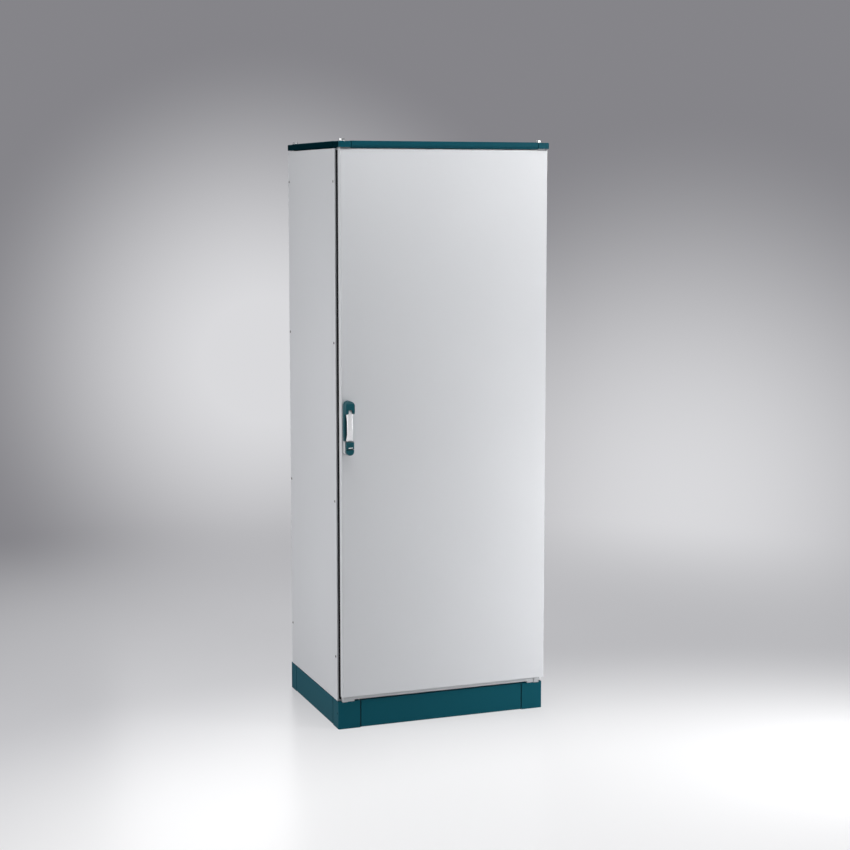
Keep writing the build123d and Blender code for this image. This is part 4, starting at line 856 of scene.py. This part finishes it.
floorLook = {
    "reach": 60.0, "rings": 24, "steps": 96, "pale": (0.95, 0.95, 0.96), "mid": (0.55, 0.55, 0.57),
    "bounce": (0.80, 0.80, 0.81), "middle": (0.09, -3.29, 0), "pool": (2.3, 3.9), "glow": 0.72,
    "fade": (1.3, 4.0), "rough": 0.28, "gloss": 0.35}
rings = np.concatenate([[0], np.geomspace(0.4, floorLook["reach"], floorLook["rings"])])
floorGrid = turnedGrid([("round", radius, 0) for radius in rings], floorLook["steps"])
floorIndex = np.arange(len(rings) * floorLook["steps"]).reshape(len(rings), floorLook["steps"])
floorNext = np.roll(floorIndex, -1, axis=1)
floorQuads = np.stack([floorIndex[:-1], floorIndex[1:], floorNext[1:], floorNext[:-1]], -1)
floorMesh = bpy.data.meshes.new("floor")
floorMesh.from_pydata(floorGrid.reshape(-1, 3).tolist(), [], floorQuads.reshape(-1, 4).tolist())
floor = bpy.data.objects.new("floor", floorMesh)
bpy.context.scene.collection.objects.link(floor)

# painted light: a pale pool in front of the object; round it a mid grey, fading far away to the backdrop's
# tone
floorPaint, nodes = newFinish("floorPaint")
place = objectPlace(nodes)
pool = eased(nodes, vectorMaths(nodes, "DISTANCE", place, floorLook["middle"], "Value"), *floorLook["pool"])
fade = eased(nodes, vectorMaths(nodes, "LENGTH", place, out="Value"), *floorLook["fade"])
direction = vectorMaths(nodes, "NORMALIZE", vectorMaths(nodes, "SUBTRACT", place, eye))
around = mixed(nodes, fade, floorLook["mid"], backdropTone(nodes, direction))
tone = mixed(nodes, pool, floorLook["pale"], around)
seen = seenDirectly(nodes)
paint = nodes.node("ShaderNodeBsdfPrincipled", values={
    "Base Color": mixed(nodes, seen, floorLook["bounce"], tone), "Roughness": floorLook["rough"],
    "Specular IOR Level": floorLook["gloss"]})
bright = nodes.node("ShaderNodeEmission", values={"Color": tone, "Strength": 1.0})
both = nodes.node("ShaderNodeMixShader", values={
    0: seen * (floorLook["glow"] + fade * (1 - floorLook["glow"])), 1: paint, 2: bright})
nodes.node("ShaderNodeOutputMaterial", values={"Surface": both})
floorMesh.materials.append(floorPaint)

lamps = {
    "rightHigh": {"place": (1.45, -1.8, 2.15), "aim": (0.3, -0.35, 1.75), "size": (0.5, 0.8), "power": 20.0},
    "rightLow": {"place": (1.45, -1.5, 0.6), "aim": (0.35, -0.35, 0.1), "size": (0.4, 0.6), "power": 18.0},
    "leftSoftbox": {
        "place": (-2.4, -0.24, 1.35), "aim": (-0.4, -0.19, 1.25), "size": (0.5, 1.8), "power": 30.0},
    "topSoftbox": {
        "place": (-0.2, -1.2, 3.2), "aim": (-0.05, -0.33, 1.9), "size": (1.6, 0.7), "power": 18.0},
    "overhead": {"place": (0.0, -1.6, 5.5), "aim": (0, -1.2, 0), "size": (5.0, 4.0), "power": 40.0},
    "rearSoftbox": {"place": (0.5, 3.4, 2.0), "aim": (0, 0.3, 1.1), "size": (2.0, 2.0), "power": 60.0},
}
for name, lamp in lamps.items():
    light = bpy.data.lights.new(name, "AREA")
    light.shape = "RECTANGLE"
    light.size, light.size_y = lamp["size"]
    light.energy = lamp["power"]
    holder = bpy.data.objects.new(name, light)
    holder.location = lamp["place"]
    aimLine = Vector(lamp["aim"]) - Vector(lamp["place"])
    holder.rotation_euler = aimLine.to_track_quat("-Z", "Y").to_euler()
    holder.visible_camera = False
    bpy.context.scene.collection.objects.link(holder)

sky = {"light": (0.93, 0.95, 1.0), "strength": 0.10}
world = bpy.data.worlds.new("studio")
bpy.context.scene.world = world
world.use_nodes = True
nodes = Nodes(world.node_tree)
backdrop = backdropTone(nodes, nodes.node("ShaderNodeTexCoord", out="Generated"))
lit = nodes.node("ShaderNodeBackground", values={"Color": (*sky["light"], 1), "Strength": sky["strength"]})
shown = nodes.node("ShaderNodeBackground", values={"Color": backdrop, "Strength": 1.0})
mix = nodes.node("ShaderNodeMixShader", values={0: seenDirectly(nodes), 1: lit, 2: shown})
nodes.node("ShaderNodeOutputWorld", values={"Surface": mix})

cameraLook = {"turn": 20.65, "drop": 6.70, "lens": 75.4, "sensor": 36.0, "shift": -0.03}
cameraData = bpy.data.cameras.new("camera")
cameraData.lens = cameraLook["lens"]
cameraData.sensor_width = cameraLook["sensor"]
cameraData.shift_y = cameraLook["shift"]
camera = bpy.data.objects.new("camera", cameraData)
camera.location = eye
camera.rotation_euler = (math.radians(90 - cameraLook["drop"]), 0, -math.radians(cameraLook["turn"]))
bpy.context.scene.collection.objects.link(camera)
bpy.context.scene.camera = camera
bpy.context.scene.view_settings.view_transform = "Standard"
print("studio and camera set")
